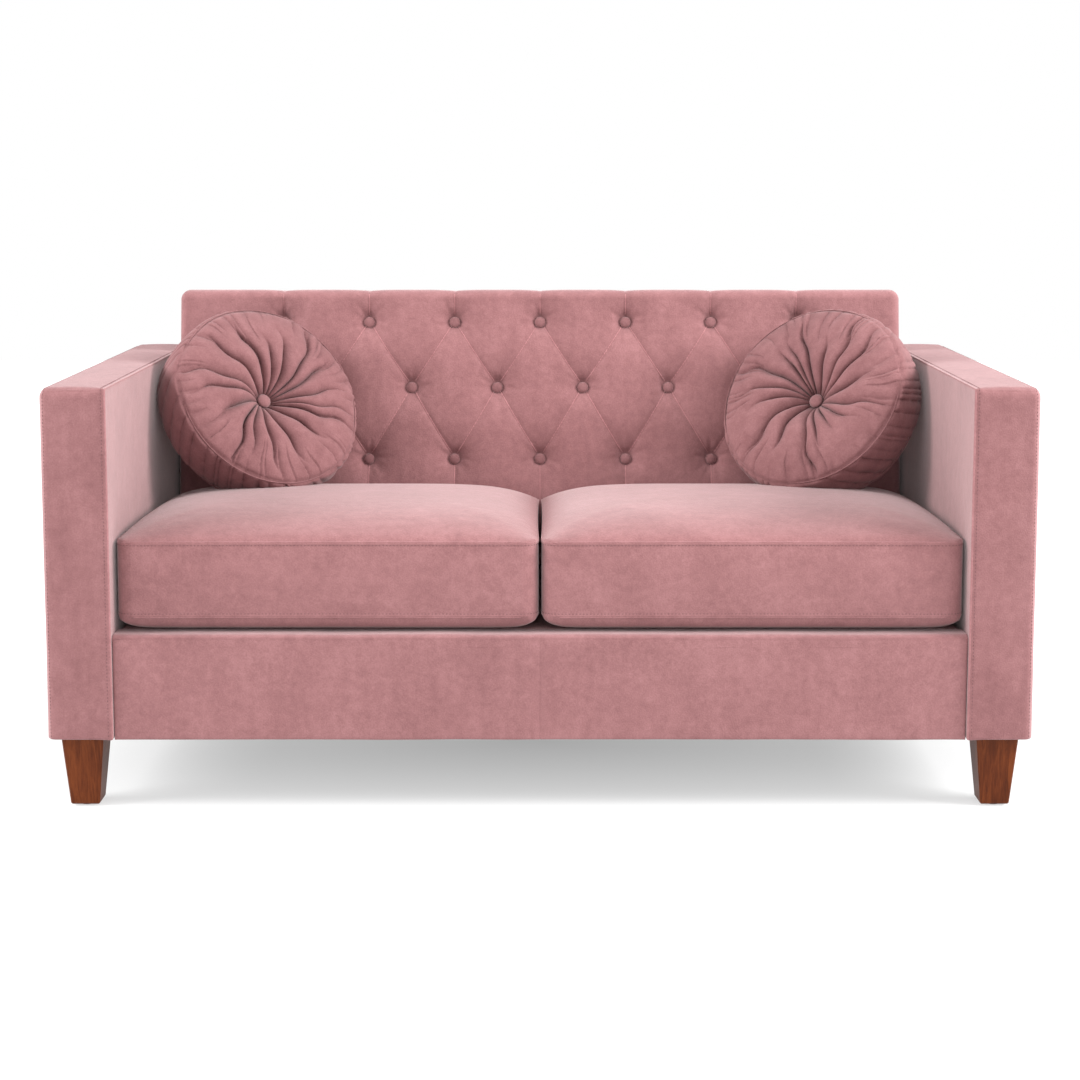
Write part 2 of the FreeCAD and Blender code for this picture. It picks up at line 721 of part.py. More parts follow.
def cushion_form(skin):
    """Boxed cushion: an upright band trimmed by a crowned panel above and another below."""
    margin = 12.0
    low, high = CUSHION_BOTTOM - margin, CUSHION_HIGH_SEAM + CUSHION_CROWN + margin
    band = Part.makeLoft([cushion_outline(skin, low), cushion_outline(skin, high)], True, True)
    above = crowned_panel(CUSHION_HIGH_SEAM, CUSHION_CROWN, CUSHION_TOP_POWER, skin, CUSHION_REAR_DROP)
    below = crowned_panel(CUSHION_LOW_SEAM, CUSHION_BOTTOM - CUSHION_LOW_SEAM, CUSHION_UNDER_POWER, skin)
    reach = 2 * (high - low)
    over = [face.extrude(V(0, 0, reach)) for face in above.Faces]
    under = [face.extrude(V(0, 0, -reach)) for face in below.Faces]
    return band.cut(over + under)


def cushion_cover():
    return cushion_form(0.0).cut(cushion_form(CUSHION_COVER_THICK))


def cushion_core():
    return cushion_form(CUSHION_COVER_THICK + CUSHION_CORE_GAP)


def on_seat(shape, side):
    """Puts a cushion piece on its half of the seat."""
    return shape.translated(V(side * (CUSHION_HALF + CUSHION_MIDDLE_GAP / 2), 0, 0))


# Round pillows


def pillow_profile(inset):
    """Edges of the pillow's front half profile, from the middle out to the rim seam."""
    waist = V(0, 0, PILLOW_WAIST_HALF - inset)
    seat = V(PILLOW_BUTTON_R, 0, PILLOW_WAIST_HALF - inset)
    rise = V(PILLOW_CREST_R * 0.45, 0, PILLOW_CREST_HALF * 0.85 - inset)
    crest = V(PILLOW_CREST_R, 0, PILLOW_CREST_HALF - inset)
    rim = V(PILLOW_R - inset, 0, PILLOW_RIM_HALF - inset)
    fall = V((PILLOW_CREST_R + PILLOW_R) / 2, 0, PILLOW_CREST_HALF * 0.91 - inset)
    return [
        Part.LineSegment(waist, seat).toShape(),
        Part.Arc(seat, rise, crest).toShape(),
        Part.Arc(crest, fall, rim).toShape(),
    ]


def pillow_rest(inset):
    """Ground under the pillow, in the pillow's own frame, that its lower rim settles flat on."""
    reach = 2 * PILLOW_R
    ground = block((-reach, reach), (-reach, reach), (-PILLOW_SETTLED - reach, -PILLOW_SETTLED + inset))
    ground.rotate(V(0, 0, 0), V(1, 0, 0), PILLOW_LEAN_DEG - 90)
    return ground


def pillow_form(inset):
    """Round pillow on the XY plane: crowned faces drawn in at the middle, and a bulging band."""
    front = pillow_profile(inset)
    rear = [e.mirror(V(0, 0, 0), V(0, 0, 1)) for e in reversed(front)]
    rim = V(PILLOW_R - inset, 0, PILLOW_RIM_HALF - inset)
    bulge = V(PILLOW_R + PILLOW_BAND_BULGE - inset, 0, 0)
    band = Part.Arc(rim, bulge, V(rim.x, 0, -rim.z)).toShape()
    spine = Part.LineSegment(V(0, 0, -PILLOW_WAIST_HALF + inset), V(0, 0, PILLOW_WAIST_HALF - inset)).toShape()
    ball = Part.Face(Part.Wire(front + [band] + rear + [spine])).revolve(V(0, 0, 0), V(0, 0, 1), 360)
    return ball.cut(pillow_rest(inset))


def pillow_pleat_cuts():
    """Radial channels in both faces, between the button and the rim seam."""
    near, far = PILLOW_PLEAT_SPAN
    high = PILLOW_CREST_HALF + 10.0
    slab = Part.makeCylinder(far, high).cut(Part.makeCylinder(near, high))
    sheet = slab.cut(pillow_form(PILLOW_PLEAT_DEPTH))
    reach = PILLOW_R * 2
    half_angle = math.radians(PILLOW_PLEAT_DEG / 2)
    edge = V(reach * math.cos(half_angle), reach * math.sin(half_angle), 0)
    wedge = prism([V(0, 0, 0), V(edge.x, -edge.y, 0), edge], V(0, 0, high))
    channel = sheet.common(wedge)
    cuts = []
    for i in range(PILLOW_PLEATS):
        front = channel.copy()
        front.rotate(V(0, 0, 0), V(0, 0, 1), 360.0 * i / PILLOW_PLEATS)
        cuts += [front, front.mirror(V(0, 0, 0), V(0, 0, 1))]
    return cuts


def pillow_twine():
    return rod(V(0, 0, -PILLOW_WAIST_HALF), V(0, 0, 1), TWINE_R, 2 * PILLOW_WAIST_HALF)


def pillow_cover():
    hollow = pillow_form(PILLOW_COVER_THICK + PILLOW_PLEAT_DEPTH)
    return pillow_form(0.0).cut(pillow_pleat_cuts()).cut([hollow, pillow_twine()])


def pillow_fill():
    inset = PILLOW_COVER_THICK + PILLOW_PLEAT_DEPTH + PILLOW_FILL_GAP
    return pillow_form(inset).cut(pillow_twine())


def pillow_buttons():
    front = domed_button(PILLOW_BUTTON_R - 0.5, PILLOW_BUTTON_HIGH).translated(V(0, 0, PILLOW_WAIST_HALF))
    return group([front, front.mirror(V(0, 0, 0), V(0, 0, 1))])


def leaning(shape, side):
    """Puts a pillow piece beside an arm: turned towards the middle and leaning on the back."""
    upright = FreeCAD.Rotation(V(1, 0, 0), 90 - PILLOW_LEAN_DEG)
    turned = FreeCAD.Rotation(V(0, 0, 1), -side * PILLOW_TURN_DEG)
    centre = V(side * PILLOW_CENTRE.x, PILLOW_CENTRE.y, PILLOW_CENTRE.z)
    placed = shape.copy()
    placed.Placement = FreeCAD.Placement(centre, turned.multiply(upright))
    return placed


# Legs


def square(side, z):
    half = side / 2
    corners = [V(-half, -half, z), V(half, -half, z), V(half, half, z), V(-half, half, z)]
    return Part.makePolygon(corners + corners[:1])


def leg(x, y):
    """Square taper with eased corners, bored for its bolt."""
    taper = Part.makeLoft([square(LEG_FOOT, GLIDE_HIGH), square(LEG_TOP, LEG_HEAD)], True, True)
    corners = [e for e in taper.Edges if abs(e.tangentAt(e.FirstParameter).z) > 0.5]
    foot = edges_where(taper, lambda p: abs(p.z - GLIDE_HIGH) < 1e-6)
    eased = taper.makeChamfer(LEG_CHAMFER, corners + foot)
    bore = rod(V(0, 0, LEG_HEAD - LEG_BOLT_IN_LEG), V(0, 0, 1), LEG_BOLT_R, LEG_BOLT_IN_LEG)
    return eased.cut(bore).translated(V(x, y, 0))


def leg_places():
    return [(x, y) for y in LEG_Y for x in (-LEG_X, LEG_X)]


def plate_screw_points():
    """Screws of the two right-hand leg plates, on the underside of the arm's bottom rail."""
    offsets = (-SCREW_OFFSET, SCREW_OFFSET)
    return [V(LEG_X + dx, y + dy, FRAME_BOTTOM) for y in LEG_Y for dx in offsets for dy in offsets]


def leg_plates():
    half = PLATE_SIDE / 2
    right = []
    for y in LEG_Y:
        plate = block((LEG_X - half, LEG_X + half), (y - half, y + half), (LEG_HEAD, FRAME_BOTTOM))
        holes = [rod(V(LEG_X, y, LEG_HEAD), V(0, 0, 1), LEG_BOLT_R, PLATE_THICK)]
        for p in plate_screw_points():
            holes.append(rod(V(p.x, p.y, LEG_HEAD), V(0, 0, 1), SCREW_R, PLATE_THICK))
            holes.append(rod(V(p.x, p.y, LEG_HEAD), V(0, 0, 1), SCREW_HEAD_R, SCREW_HEAD_HIGH))
        right.append(plate.cut(holes))
    return group(right + [mirrored(p) for p in right])


def plate_screws():
    right = []
    for p in plate_screw_points():
        head = rod(V(p.x, p.y, LEG_HEAD), V(0, 0, 1), SCREW_HEAD_R, SCREW_HEAD_HIGH)
        shank = rod(V(p.x, p.y, LEG_HEAD), V(0, 0, 1), SCREW_R, PLATE_THICK + SCREW_LONG)
        right.append(head.fuse(shank))
    return group(right + [mirrored(s) for s in right])


def leg_bolts():
    length = LEG_BOLT_IN_LEG + PLATE_THICK + LEG_BOLT_IN_RAIL
    return group(
        rod(V(x, y, LEG_HEAD - LEG_BOLT_IN_LEG), V(0, 0, 1), LEG_BOLT_R, length) for x, y in leg_places()
    )


def foot_glides():
    glides = [Part.makeCylinder(GLIDE_R, GLIDE_HIGH, V(x, y, 0)) for x, y in leg_places()]
    return group(glides)


def all_parts():
    parts = {
        "front_rail": front_rail(),
        "rear_rail": rear_rail(),
        "right_side_rail": side_rail(),
        "left_side_rail": mirrored(side_rail()),
        "centre_rail": centre_rail(),
        "corner_blocks": corner_blocks(),
        "front_rail_cover": front_rail_cover(),
        "seat_deck": seat_deck(),
        "dust_cover": dust_cover(),
        "seat_springs_left": seat_springs(-1),
        "seat_springs_right": seat_springs(1),
        "spring_clips": spring_clips(),
        "arm_bolts": arm_bolts(),
        "back_bolts": back_bolts(),
        "back_top_rail": back_top_rail(),
        "back_lower_rail": back_lower_rail(),
        "back_board": back_board(),
        "back_pad": back_pad(),
        "outside_back": outside_back(),
        "tuft_buttons": tuft_buttons(),
        "button_twines": button_twines(),
        "leg_plates": leg_plates(),
        "plate_screws": plate_screws(),
        "leg_bolts": leg_bolts(),
        "foot_glides": foot_glides(),
    }
    for name, x in zip(("left", "centre", "right"), POST_X):
        parts[f"back_post_{name}"] = back_post(x)
    for name, (x, y) in zip(("front_left", "front_right", "rear_left", "rear_right"), leg_places()):
        parts[f"leg_{name}"] = leg(x, y)
    arm_pieces = {
        "arm_front_post": arm_front_post(),
        "arm_rear_post": arm_rear_post(),
        "arm_top_rail": arm_top_rail(),
        "arm_bottom_rail": arm_bottom_rail(),
        "arm_cover": arm_cover(),
        "arm_facing": arm_facing(),
    }
    for name, shape in arm_pieces.items():
        parts[f"right_{name}"] = shape
        parts[f"left_{name}"] = mirrored(shape)
    pillow_pieces = {
        "cover": pillow_cover(),
        "fill": pillow_fill(),
        "buttons": pillow_buttons(),
        "twine": pillow_twine(),
    }
    cushion_pieces = {"cover": cushion_cover(), "core": cushion_core()}
    for name, side in (("left", -1), ("right", 1)):
        for piece, shape in cushion_pieces.items():
            parts[f"seat_cushion_{piece}_{name}"] = on_seat(shape, side)
        for piece, shape in pillow_pieces.items():
            parts[f"round_pillow_{piece}_{name}"] = leaning(shape, side)
    return parts


os.makedirs("parts", exist_ok=True)
for node, shape in all_parts().items():
    bad = [s for s in shape.Solids if not s.isValid() or s.Volume <= 0]
    print(f"{node}: {len(shape.Solids)} solids, {shape.Volume / 1000:.1f} cm3, {len(bad)} bad")
    shape.exportStep(os.path.join("parts", f"{node}.step"))
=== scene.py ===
import math

import bmesh
import bpy
import numpy as np
from mathutils import Matrix, Vector


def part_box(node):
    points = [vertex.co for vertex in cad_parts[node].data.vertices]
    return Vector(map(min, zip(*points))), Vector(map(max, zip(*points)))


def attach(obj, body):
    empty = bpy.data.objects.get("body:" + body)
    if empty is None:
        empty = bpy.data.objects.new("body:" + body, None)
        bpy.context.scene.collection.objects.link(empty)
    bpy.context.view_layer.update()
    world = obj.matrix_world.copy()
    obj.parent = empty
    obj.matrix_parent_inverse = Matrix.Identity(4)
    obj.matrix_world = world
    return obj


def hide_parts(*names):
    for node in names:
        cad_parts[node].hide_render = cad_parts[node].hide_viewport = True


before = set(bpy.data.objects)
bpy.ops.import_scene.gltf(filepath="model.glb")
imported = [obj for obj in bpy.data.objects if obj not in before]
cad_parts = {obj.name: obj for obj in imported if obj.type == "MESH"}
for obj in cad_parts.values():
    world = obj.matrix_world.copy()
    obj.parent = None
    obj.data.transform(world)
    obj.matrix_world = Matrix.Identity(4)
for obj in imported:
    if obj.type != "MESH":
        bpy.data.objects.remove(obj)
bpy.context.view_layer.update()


# Legs: four tapered square posts of hardwood, stained reddish brown and lacquered to a satin shine.
# A bolt in the head of each one screws into the steel plate under the end of an arm.
def new_finish(name, roughness, **even):
    """A material, with the values that are even all over set on its shader."""
    finish = bpy.data.materials.new(name)
    finish.use_nodes = True
    sockets = finish.node_tree.nodes["Principled BSDF"].inputs
    sockets["Roughness"].default_value = roughness
    for socket, value in even.items():
        sockets[socket.replace("_", " ").title().replace("Ior", "IOR")].default_value = value
    return finish


def node(finish, kind, **inputs):
    """Adds a shader node; an input is a value, or another node's output."""
    tree = finish.node_tree
    added = tree.nodes.new("ShaderNode" + kind)
    for name, value in inputs.items():
        if isinstance(value, bpy.types.NodeSocket):
            tree.links.new(value, added.inputs[name])
        else:
            added.inputs[name].default_value = value
    return added


def speckle(finish, per_metre, detail=4.0, distortion=0.0):
    """Noise, by features a metre: one number, or along x, y and z."""
    place = node(finish, "TexCoord").outputs["Object"]
    spread = node(finish, "Mapping", Vector=place, Scale=np.broadcast_to(per_metre, 3))
    noise = node(finish, "TexNoise", Vector=spread.outputs["Vector"], Scale=1.0, Detail=detail,
                 Distortion=distortion)
    return noise.outputs["Fac"]


def summed(finish, *weighted):
    """Adds up values, each with its weight."""
    links, total = finish.node_tree.links, None
    for value, weight in weighted:
        step = node(finish, "Math")
        step.operation = "MULTIPLY_ADD"
        links.new(value, step.inputs[0])
        step.inputs[1].default_value = weight
        step.inputs[2].default_value = 0.0
        if total is not None:
            links.new(total, step.inputs[2])
        total = step.outputs[0]
    return total


def to_shader(finish, output, socket):
    """Links a node's output to a socket of the shader."""
    tree = finish.node_tree
    tree.links.new(output, tree.nodes["Principled BSDF"].inputs[socket])


def toned(finish, value, *stops, into="Base Color"):
    """Colours by a value; each stop is a place and a linear colour."""
    ramp = node(finish, "ValToRGB", Fac=value)
    while len(ramp.color_ramp.elements) < len(stops):
        ramp.color_ramp.elements.new(0.5)
    for element, (place, colour) in zip(ramp.color_ramp.elements, stops):
        element.position = place
        element.color = (*colour, 1.0)
    to_shader(finish, ramp.outputs["Color"], into)


def bumped(finish, height, depth):
    """Relief of a depth in metres."""
    relief = node(finish, "Bump", Strength=1.0, Distance=depth, Height=height)
    to_shader(finish, relief.outputs["Normal"], "Normal")


def coat(piece, finish):
    """Gives a piece one finish all over."""
    piece.data.materials.clear()
    piece.data.materials.append(finish)


def paint(finish, *names):
    """Gives CAD nodes their finish."""
    for name in names:
        coat(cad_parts[name], finish)


leg_names = [f"leg_{end}_{side}" for end in ("front", "rear") for side in ("left", "right")]
wood = new_finish("leg_wood", 0.42, specular_ior_level=0.12)
grain = speckle(wood, (150, 150, 7), 6.0, 1.2)
pores = speckle(wood, (900, 900, 40), 3.0)
clouding = speckle(wood, (26, 26, 10), 3.0)
figure = summed(wood, (grain, 0.5), (clouding, 0.4), (pores, 0.18))
toned(wood, figure, (0.34, (0.034, 0.0066, 0.0016)), (0.52, (0.082, 0.0175, 0.0040)),
      (0.70, (0.138, 0.0330, 0.0078)))
bumped(wood, summed(wood, (pores, 0.6), (grain, 0.4)), 0.0003)
paint(wood, *leg_names)


# Leg fixings: pressed steel plates with their screws and hanger bolts, zinc plated, and the round
# glides of hard dark plastic that are nailed under the feet.
zinc = new_finish("plated_steel", 0.34, metallic=1.0)
blush = speckle(zinc, 60, 5.0)
toned(zinc, blush, (0.35, (0.46, 0.46, 0.45)), (0.7, (0.66, 0.66, 0.64)))
bumped(zinc, speckle(zinc, 500, 2.0), 0.00008)
paint(zinc, "leg_plates", "plate_screws", "leg_bolts", "arm_bolts", "back_bolts", "spring_clips")

plastic = new_finish("glide_plastic", 0.55)
scuffs = speckle(plastic, 300)
toned(plastic, scuffs, (0.3, (0.006, 0.005, 0.005)), (0.8, (0.022, 0.018, 0.016)))
bumped(plastic, scuffs, 0.0001)
paint(plastic, "foot_glides")


# Frame: planed softwood rails and posts, glued, blocked and bolted, plywood uprights in the back
# and a hardboard sheet behind the buttoned pad. The grain of each timber runs along its length.
def timber(name, per_metre):
    """Pale softwood, its grain along the axis with the fewest features."""
    finish = new_finish(name, 0.7)
    rings = speckle(finish, per_metre, 5.0, 0.8)
    fibres = speckle(finish, tuple(6 * s for s in per_metre), 3.0)
    toned(finish, summed(finish, (rings, 0.7), (fibres, 0.3)), (0.36, (0.40, 0.25, 0.12)),
          (0.55, (0.56, 0.38, 0.20)), (0.68, (0.66, 0.49, 0.29)))
    bumped(finish, fibres, 0.0003)
    return finish


paint(timber("frame_timber_across", (2, 45, 45)),
      "front_rail", "rear_rail", "back_top_rail", "back_lower_rail")
paint(timber("frame_timber_deep", (45, 2, 45)), "left_side_rail", "right_side_rail", "centre_rail",
      "left_arm_top_rail", "right_arm_top_rail", "left_arm_bottom_rail", "right_arm_bottom_rail")
paint(timber("frame_timber_upright", (45, 45, 2)), "corner_blocks", "left_arm_front_post",
      "right_arm_front_post", "left_arm_rear_post", "right_arm_rear_post")

plywood = new_finish("plywood", 0.65)
plies = speckle(plywood, (420, 1, 1), 1.0)
veneer = speckle(plywood, (30, 30, 3))
toned(plywood, summed(plywood, (plies, 0.6), (veneer, 0.4)),
      (0.40, (0.36, 0.22, 0.11)), (0.60, (0.58, 0.41, 0.23)))
bumped(plywood, veneer, 0.0002)
paint(plywood, "back_post_left", "back_post_centre", "back_post_right")

hardboard = new_finish("hardboard", 0.75)
pulp = speckle(hardboard, 260, 5.0)
toned(hardboard, pulp, (0.3, (0.11, 0.065, 0.035)), (0.75, (0.20, 0.125, 0.07)))
bumped(hardboard, pulp, 0.0003)
paint(hardboard, "back_board")


# Springs and twine: zigzag springs of oiled steel wire between the front and rear rails, and the
# waxed twines that draw the buttons in.
wire = new_finish("spring_steel", 0.42, metallic=1.0)
oil = speckle(wire, 35)
toned(wire, oil, (0.35, (0.07, 0.07, 0.075)), (0.7, (0.17, 0.165, 0.16)))
bumped(wire, speckle(wire, 700, 2.0), 0.00006)
paint(wire, "seat_springs_left", "seat_springs_right")

twine = new_finish("twine", 0.85)
strands = speckle(twine, 900, 3.0)
toned(twine, strands, (0.3, (0.46, 0.40, 0.29)), (0.75, (0.70, 0.64, 0.50)))
bumped(twine, strands, 0.0002)
paint(twine, "button_twines", "round_pillow_twine_left", "round_pillow_twine_right")


# Dust cover: thin black cloth that hides the springs from below. It is pulled flat under the frame,
# tacked to the rails all round and cut away at the four leg plates.
def named(name):
    """Names the piece just added."""
    piece = bpy.context.object
    piece.name = piece.data.name = name
    return piece


def start_box(name, low, high):
    """A box between two corners."""
    middle = [(a + b) / 2 for a, b in zip(low, high)]
    bpy.ops.mesh.primitive_cube_add(size=1.0, location=middle)
    piece = named(name)
    piece.scale = [b - a for a, b in zip(low, high)]
    bpy.ops.object.transform_apply()
    return piece


def open_mesh():
    """Opens the active piece for work on its mesh."""
    bpy.ops.object.mode_set(mode="EDIT")


def close_mesh():
    """Ends the work on a mesh."""
    bpy.ops.object.mode_set(mode="OBJECT")


def smooth(degrees):
    """Shades a piece smooth, but for edges sharper than an angle."""
    bpy.ops.object.shade_smooth_by_angle(angle=math.radians(degrees))


def pick(kind, test):
    """Selects the verts, edges or faces of an open mesh that pass a test."""
    bpy.ops.mesh.select_mode(type=kind)
    bpy.ops.mesh.select_all(action="DESELECT")
    mesh = bpy.context.edit_object.data
    shape = bmesh.from_edit_mesh(mesh)
    for part in {"VERT": shape.verts, "EDGE": shape.edges, "FACE": shape.faces}[kind]:
        part.select_set(bool(test(part)))
    if kind == "VERT":
        shape.select_flush_mode()
    bmesh.update_edit_mesh(mesh)


def pick_faces(test):
    """Selects faces by a test of middle and normal."""
    pick("FACE", lambda face: test(face.calc_center_median(), face.normal))


dust_low, dust_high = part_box("dust_cover")
dust_size = dust_high - dust_low
dust_thick, below_rails, plate_reach = 0.0006, 0.0008, 0.034
bpy.ops.mesh.primitive_grid_add(
    x_subdivisions=76, y_subdivisions=38, size=1.0,
    location=(0, (dust_low.y + dust_high.y) / 2, dust_high.z - below_rails))
dust_cover = named("dust_cover_cloth")
dust_cover.scale = (dust_size.x, dust_size.y, 1.0)
bpy.ops.object.transform_apply()
leg_spots = [(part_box(leg)[0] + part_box(leg)[1]) / 2 for leg in leg_names]
open_mesh()
pick_faces(lambda middle, normal: any(
    max(abs(middle.x - spot.x), abs(middle.y - spot.y)) < plate_reach for spot in leg_spots))
bpy.ops.mesh.delete(type="FACE")
close_mesh()


def set_up(target, **settings):
    """Sets several settings of one thing."""
    for setting, value in settings.items():
        setattr(target, setting, value)


def modified(piece, kind, **settings):
    """Puts a modifier with its settings on a piece and applies it."""
    step = piece.modifiers.new(kind.lower(), kind)
    set_up(step, **settings)
    bpy.context.view_layer.objects.active = piece
    bpy.ops.object.modifier_apply(modifier=step.name)


def soften(piece, depth, size):
    """Shallow unevenness of cloth, of a depth and a spacing in metres."""
    clouds = bpy.data.textures.new(piece.name + "_unevenness", "CLOUDS")
    clouds.noise_scale = size
    modified(piece, "DISPLACE", texture=clouds, texture_coords="LOCAL", strength=2 * depth,
             mid_level=0.5)


soften(dust_cover, 0.0006, 0.12)
modified(dust_cover, "SOLIDIFY", thickness=dust_thick)
smooth(40)
felt = new_finish("dust_cloth", 0.95)
felting = summed(felt, (speckle(felt, 700, 3.0), 0.6), (speckle(felt, 30, 3.0), 0.4))
toned(felt, felting, (0.3, (0.006, 0.006, 0.007)), (0.75, (0.022, 0.022, 0.024)))
bumped(felt, felting, 0.0003)
coat(dust_cover, felt)
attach(dust_cover, "sofa")
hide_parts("dust_cover")


# Seat deck: the platform under the loose cushions, felt wadding under a plain woven lining cloth
# that is tacked to the rails over the springs.
def cut_loops(axis, places):
    """Cuts edge loops all round, on planes square to one axis."""
    for place in places:
        point, across = Vector(), Vector()
        point[axis], across[axis] = place, 1.0
        bpy.ops.mesh.select_all(action="SELECT")
        bpy.ops.mesh.bisect(plane_co=point, plane_no=across)


def evenly(low, high, step):
    """Places between two limits, about a step apart."""
    return np.linspace(low, high, max(2, round((high - low) / step)) + 1)[1:-1]


def near(a, b):
    """Whether two measures agree but for rounding."""
    return abs(a - b) < 2e-5


def pick_edges(test, along=None):
    """Selects edges whose two ends pass a test, or only those along an axis."""
    def passes(edge):
        a, b = (end.co for end in edge.verts)
        straight = along is None or all(near(a[i], b[i]) for i in range(3) if i != along)
        return straight and test(a) and test(b)

    pick("EDGE", passes)


def roll_edges(test, radius, segments, along=None):
    """Rounds the edges whose two ends pass a test."""
    pick_edges(test, along)
    bpy.ops.mesh.bevel(offset=radius, segments=segments)


deck_low, deck_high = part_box("seat_deck")
deck_roll, deck_step = 0.005, 0.03
seat_deck = start_box("seat_deck_padding", deck_low, deck_high)
open_mesh()
roll_edges(lambda p: near(p.z, deck_high.z), deck_roll, 3)
cut_loops(0, evenly(deck_low.x, deck_high.x, deck_step))
cut_loops(1, evenly(deck_low.y, deck_high.y, deck_step))
close_mesh()
soften(seat_deck, 0.0007, 0.07)
smooth(50)
lining = new_finish("deck_cloth", 0.9)
warp = speckle(lining, (1400, 50, 50), 2.0)
weft = speckle(lining, (50, 1400, 50), 2.0)
fading = speckle(lining, 9)
threads = summed(lining, (warp, 0.4), (weft, 0.4), (fading, 0.25))
toned(lining, threads, (0.36, (0.20, 0.105, 0.105)), (0.66, (0.36, 0.21, 0.21)))
bumped(lining, summed(lining, (warp, 0.5), (weft, 0.5)), 0.0004)
coat(seat_deck, lining)
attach(seat_deck, "sofa")
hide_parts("seat_deck")


# Arms: square boxes of timber wrapped in wadding and short-pile velvet. One strip runs up the front
# and along the top. Topstitched seams, the inner one with a welt, join it to the side panels.
def velvet(name, brushed, depth=0.0006, pale=1.0, bloom=0.30, painted_shade_attribute=None):
    """Dusty rose velvet, mottled by the lie of its pile and brushed one way.
    A point attribute, if one is named, darkens it deep in its folds as painted shade."""
    finish = new_finish(name, 0.85, sheen_weight=bloom, sheen_roughness=0.50,
                        sheen_tint=(1.0, 0.92, 0.92, 1.0), specular_ior_level=0.08)
    shading = speckle(finish, 10, 4.0, 0.6)
    patches = speckle(finish, 75, 5.0, 0.4)
    strokes = speckle(finish, brushed, 4.0, 0.2)
    pile = speckle(finish, 420, 3.0)
    lie = summed(finish, (shading, 0.26), (patches, 0.28), (strokes, 0.16), (pile, 0.30))
    stops = [(0.36, (0.190, 0.083, 0.086)), (0.50, (0.236, 0.107, 0.110)),
             (0.64, (0.286, 0.136, 0.140))]
    if painted_shade_attribute:
        # Painted shade: the attribute lowers the tone in folds, down to an extra darker stop.
        deep = node(finish, "Attribute")
        deep.attribute_name = painted_shade_attribute
        lie = summed(finish, (lie, 1.0), (deep.outputs["Fac"], -0.34))
        stops.insert(0, (0.10, (0.060, 0.021, 0.022)))
    toned(finish, lie, *[(at, tuple(pale * c for c in colour)) for at, colour in stops])
    bumped(finish, summed(finish, (pile, 0.8), (patches, 0.6)), depth)
    return finish


def reshape(piece, move):
    """Moves a piece's points; `move` takes and gives rows of x, y and z."""
    points = np.empty(3 * len(piece.data.vertices))
    piece.data.vertices.foreach_get("co", points)
    piece.data.vertices.foreach_set("co", move(points.reshape(-1, 3)).ravel())
    piece.data.update()


def hollow(piece, low, high):
    """Takes a box-shaped room out of a piece."""
    room = start_box("room", low, high)
    modified(piece, "BOOLEAN", operation="DIFFERENCE", solver="EXACT", object=room)
    bpy.data.objects.remove(room)


def pick_points(test):
    """Selects points by a test of place and normal."""
    pick("VERT", lambda point: test(point.co, point.normal))


def take(piece):
    """Makes a piece the only one selected, and the active one."""
    bpy.ops.object.select_all(action="DESELECT")
    piece.select_set(True)
    bpy.context.view_layer.objects.active = piece


def line_along(piece, test):
    """A line copied from the edges of a piece whose two ends pass a test."""
    take(piece)
    open_mesh()
    pick_edges(test)
    bpy.ops.mesh.duplicate()
    bpy.ops.mesh.separate(type="SELECTED")
    close_mesh()
    take(next(o for o in bpy.context.selected_objects if o != piece))
    bpy.ops.object.convert(target="CURVE")
    return bpy.context.object


def rolled_edge(line, radius, finish):
    """Turns a line into the narrow ridge of folded cloth at a seam."""
    set_up(line.data, bevel_depth=radius, bevel_resolution=2, use_fill_caps=True)
    take(line)
    bpy.ops.object.convert(target="MESH")
    bpy.ops.object.shade_smooth()
    coat(bpy.context.object, finish)
    return bpy.context.object


def cords(name, radius, finish, *paths):
    """Thin round cords along paths of points, as one mesh."""
    points, edges = [], []
    for path in paths:
        edges += [(len(points) + i, len(points) + i + 1) for i in range(len(path) - 1)]
        points += map(tuple, path)
    mesh = bpy.data.meshes.new(name)
    mesh.from_pydata(points, edges, [])
    line = bpy.data.objects.new(name, mesh)
    bpy.context.scene.collection.objects.link(line)
    take(line)
    bpy.ops.object.convert(target="CURVE")
    return rolled_edge(bpy.context.object, radius, finish)


def stitched(line):
    """Lays a row of short stitches along a line."""
    stitch_half, thread_half, stitch_pitch = 0.0017, 0.0007, 0.0055
    bpy.ops.mesh.primitive_uv_sphere_add(segments=6, ring_count=4, radius=1.0)
    row = named("stitches")
    row.scale = (stitch_half, thread_half, thread_half)
    bpy.ops.object.transform_apply()
    modified(row, "ARRAY", fit_type="FIT_CURVE", curve=line, use_relative_offset=False,
             use_constant_offset=True, constant_offset_displace=(stitch_pitch, 0.0, 0.0))
    modified(row, "CURVE", object=line, deform_axis="POS_X")
    bpy.data.objects.remove(line)
    coat(row, thread)
    return row


def joined(name, *pieces):
    """Several meshes as one piece."""
    take(pieces[0])
    for piece in pieces[1:]:
        piece.select_set(True)
    bpy.ops.object.join()
    return named(name)


def mirrored(piece, name):
    """The same piece for the other side."""
    take(piece)
    bpy.ops.object.duplicate()
    twin = named(name)
    open_mesh()
    bpy.ops.mesh.select_all(action="SELECT")
    bpy.ops.transform.resize(value=(-1.0, 1.0, 1.0), center_override=(0.0, 0.0, 0.0))
    bpy.ops.mesh.flip_normals()
    close_mesh()
    return twin


thread = new_finish("stitch_thread", 0.7)
twist = speckle(thread, 1500, 2.0)
toned(thread, twist, (0.3, (0.090, 0.034, 0.037)), (0.8, (0.15, 0.058, 0.062)))

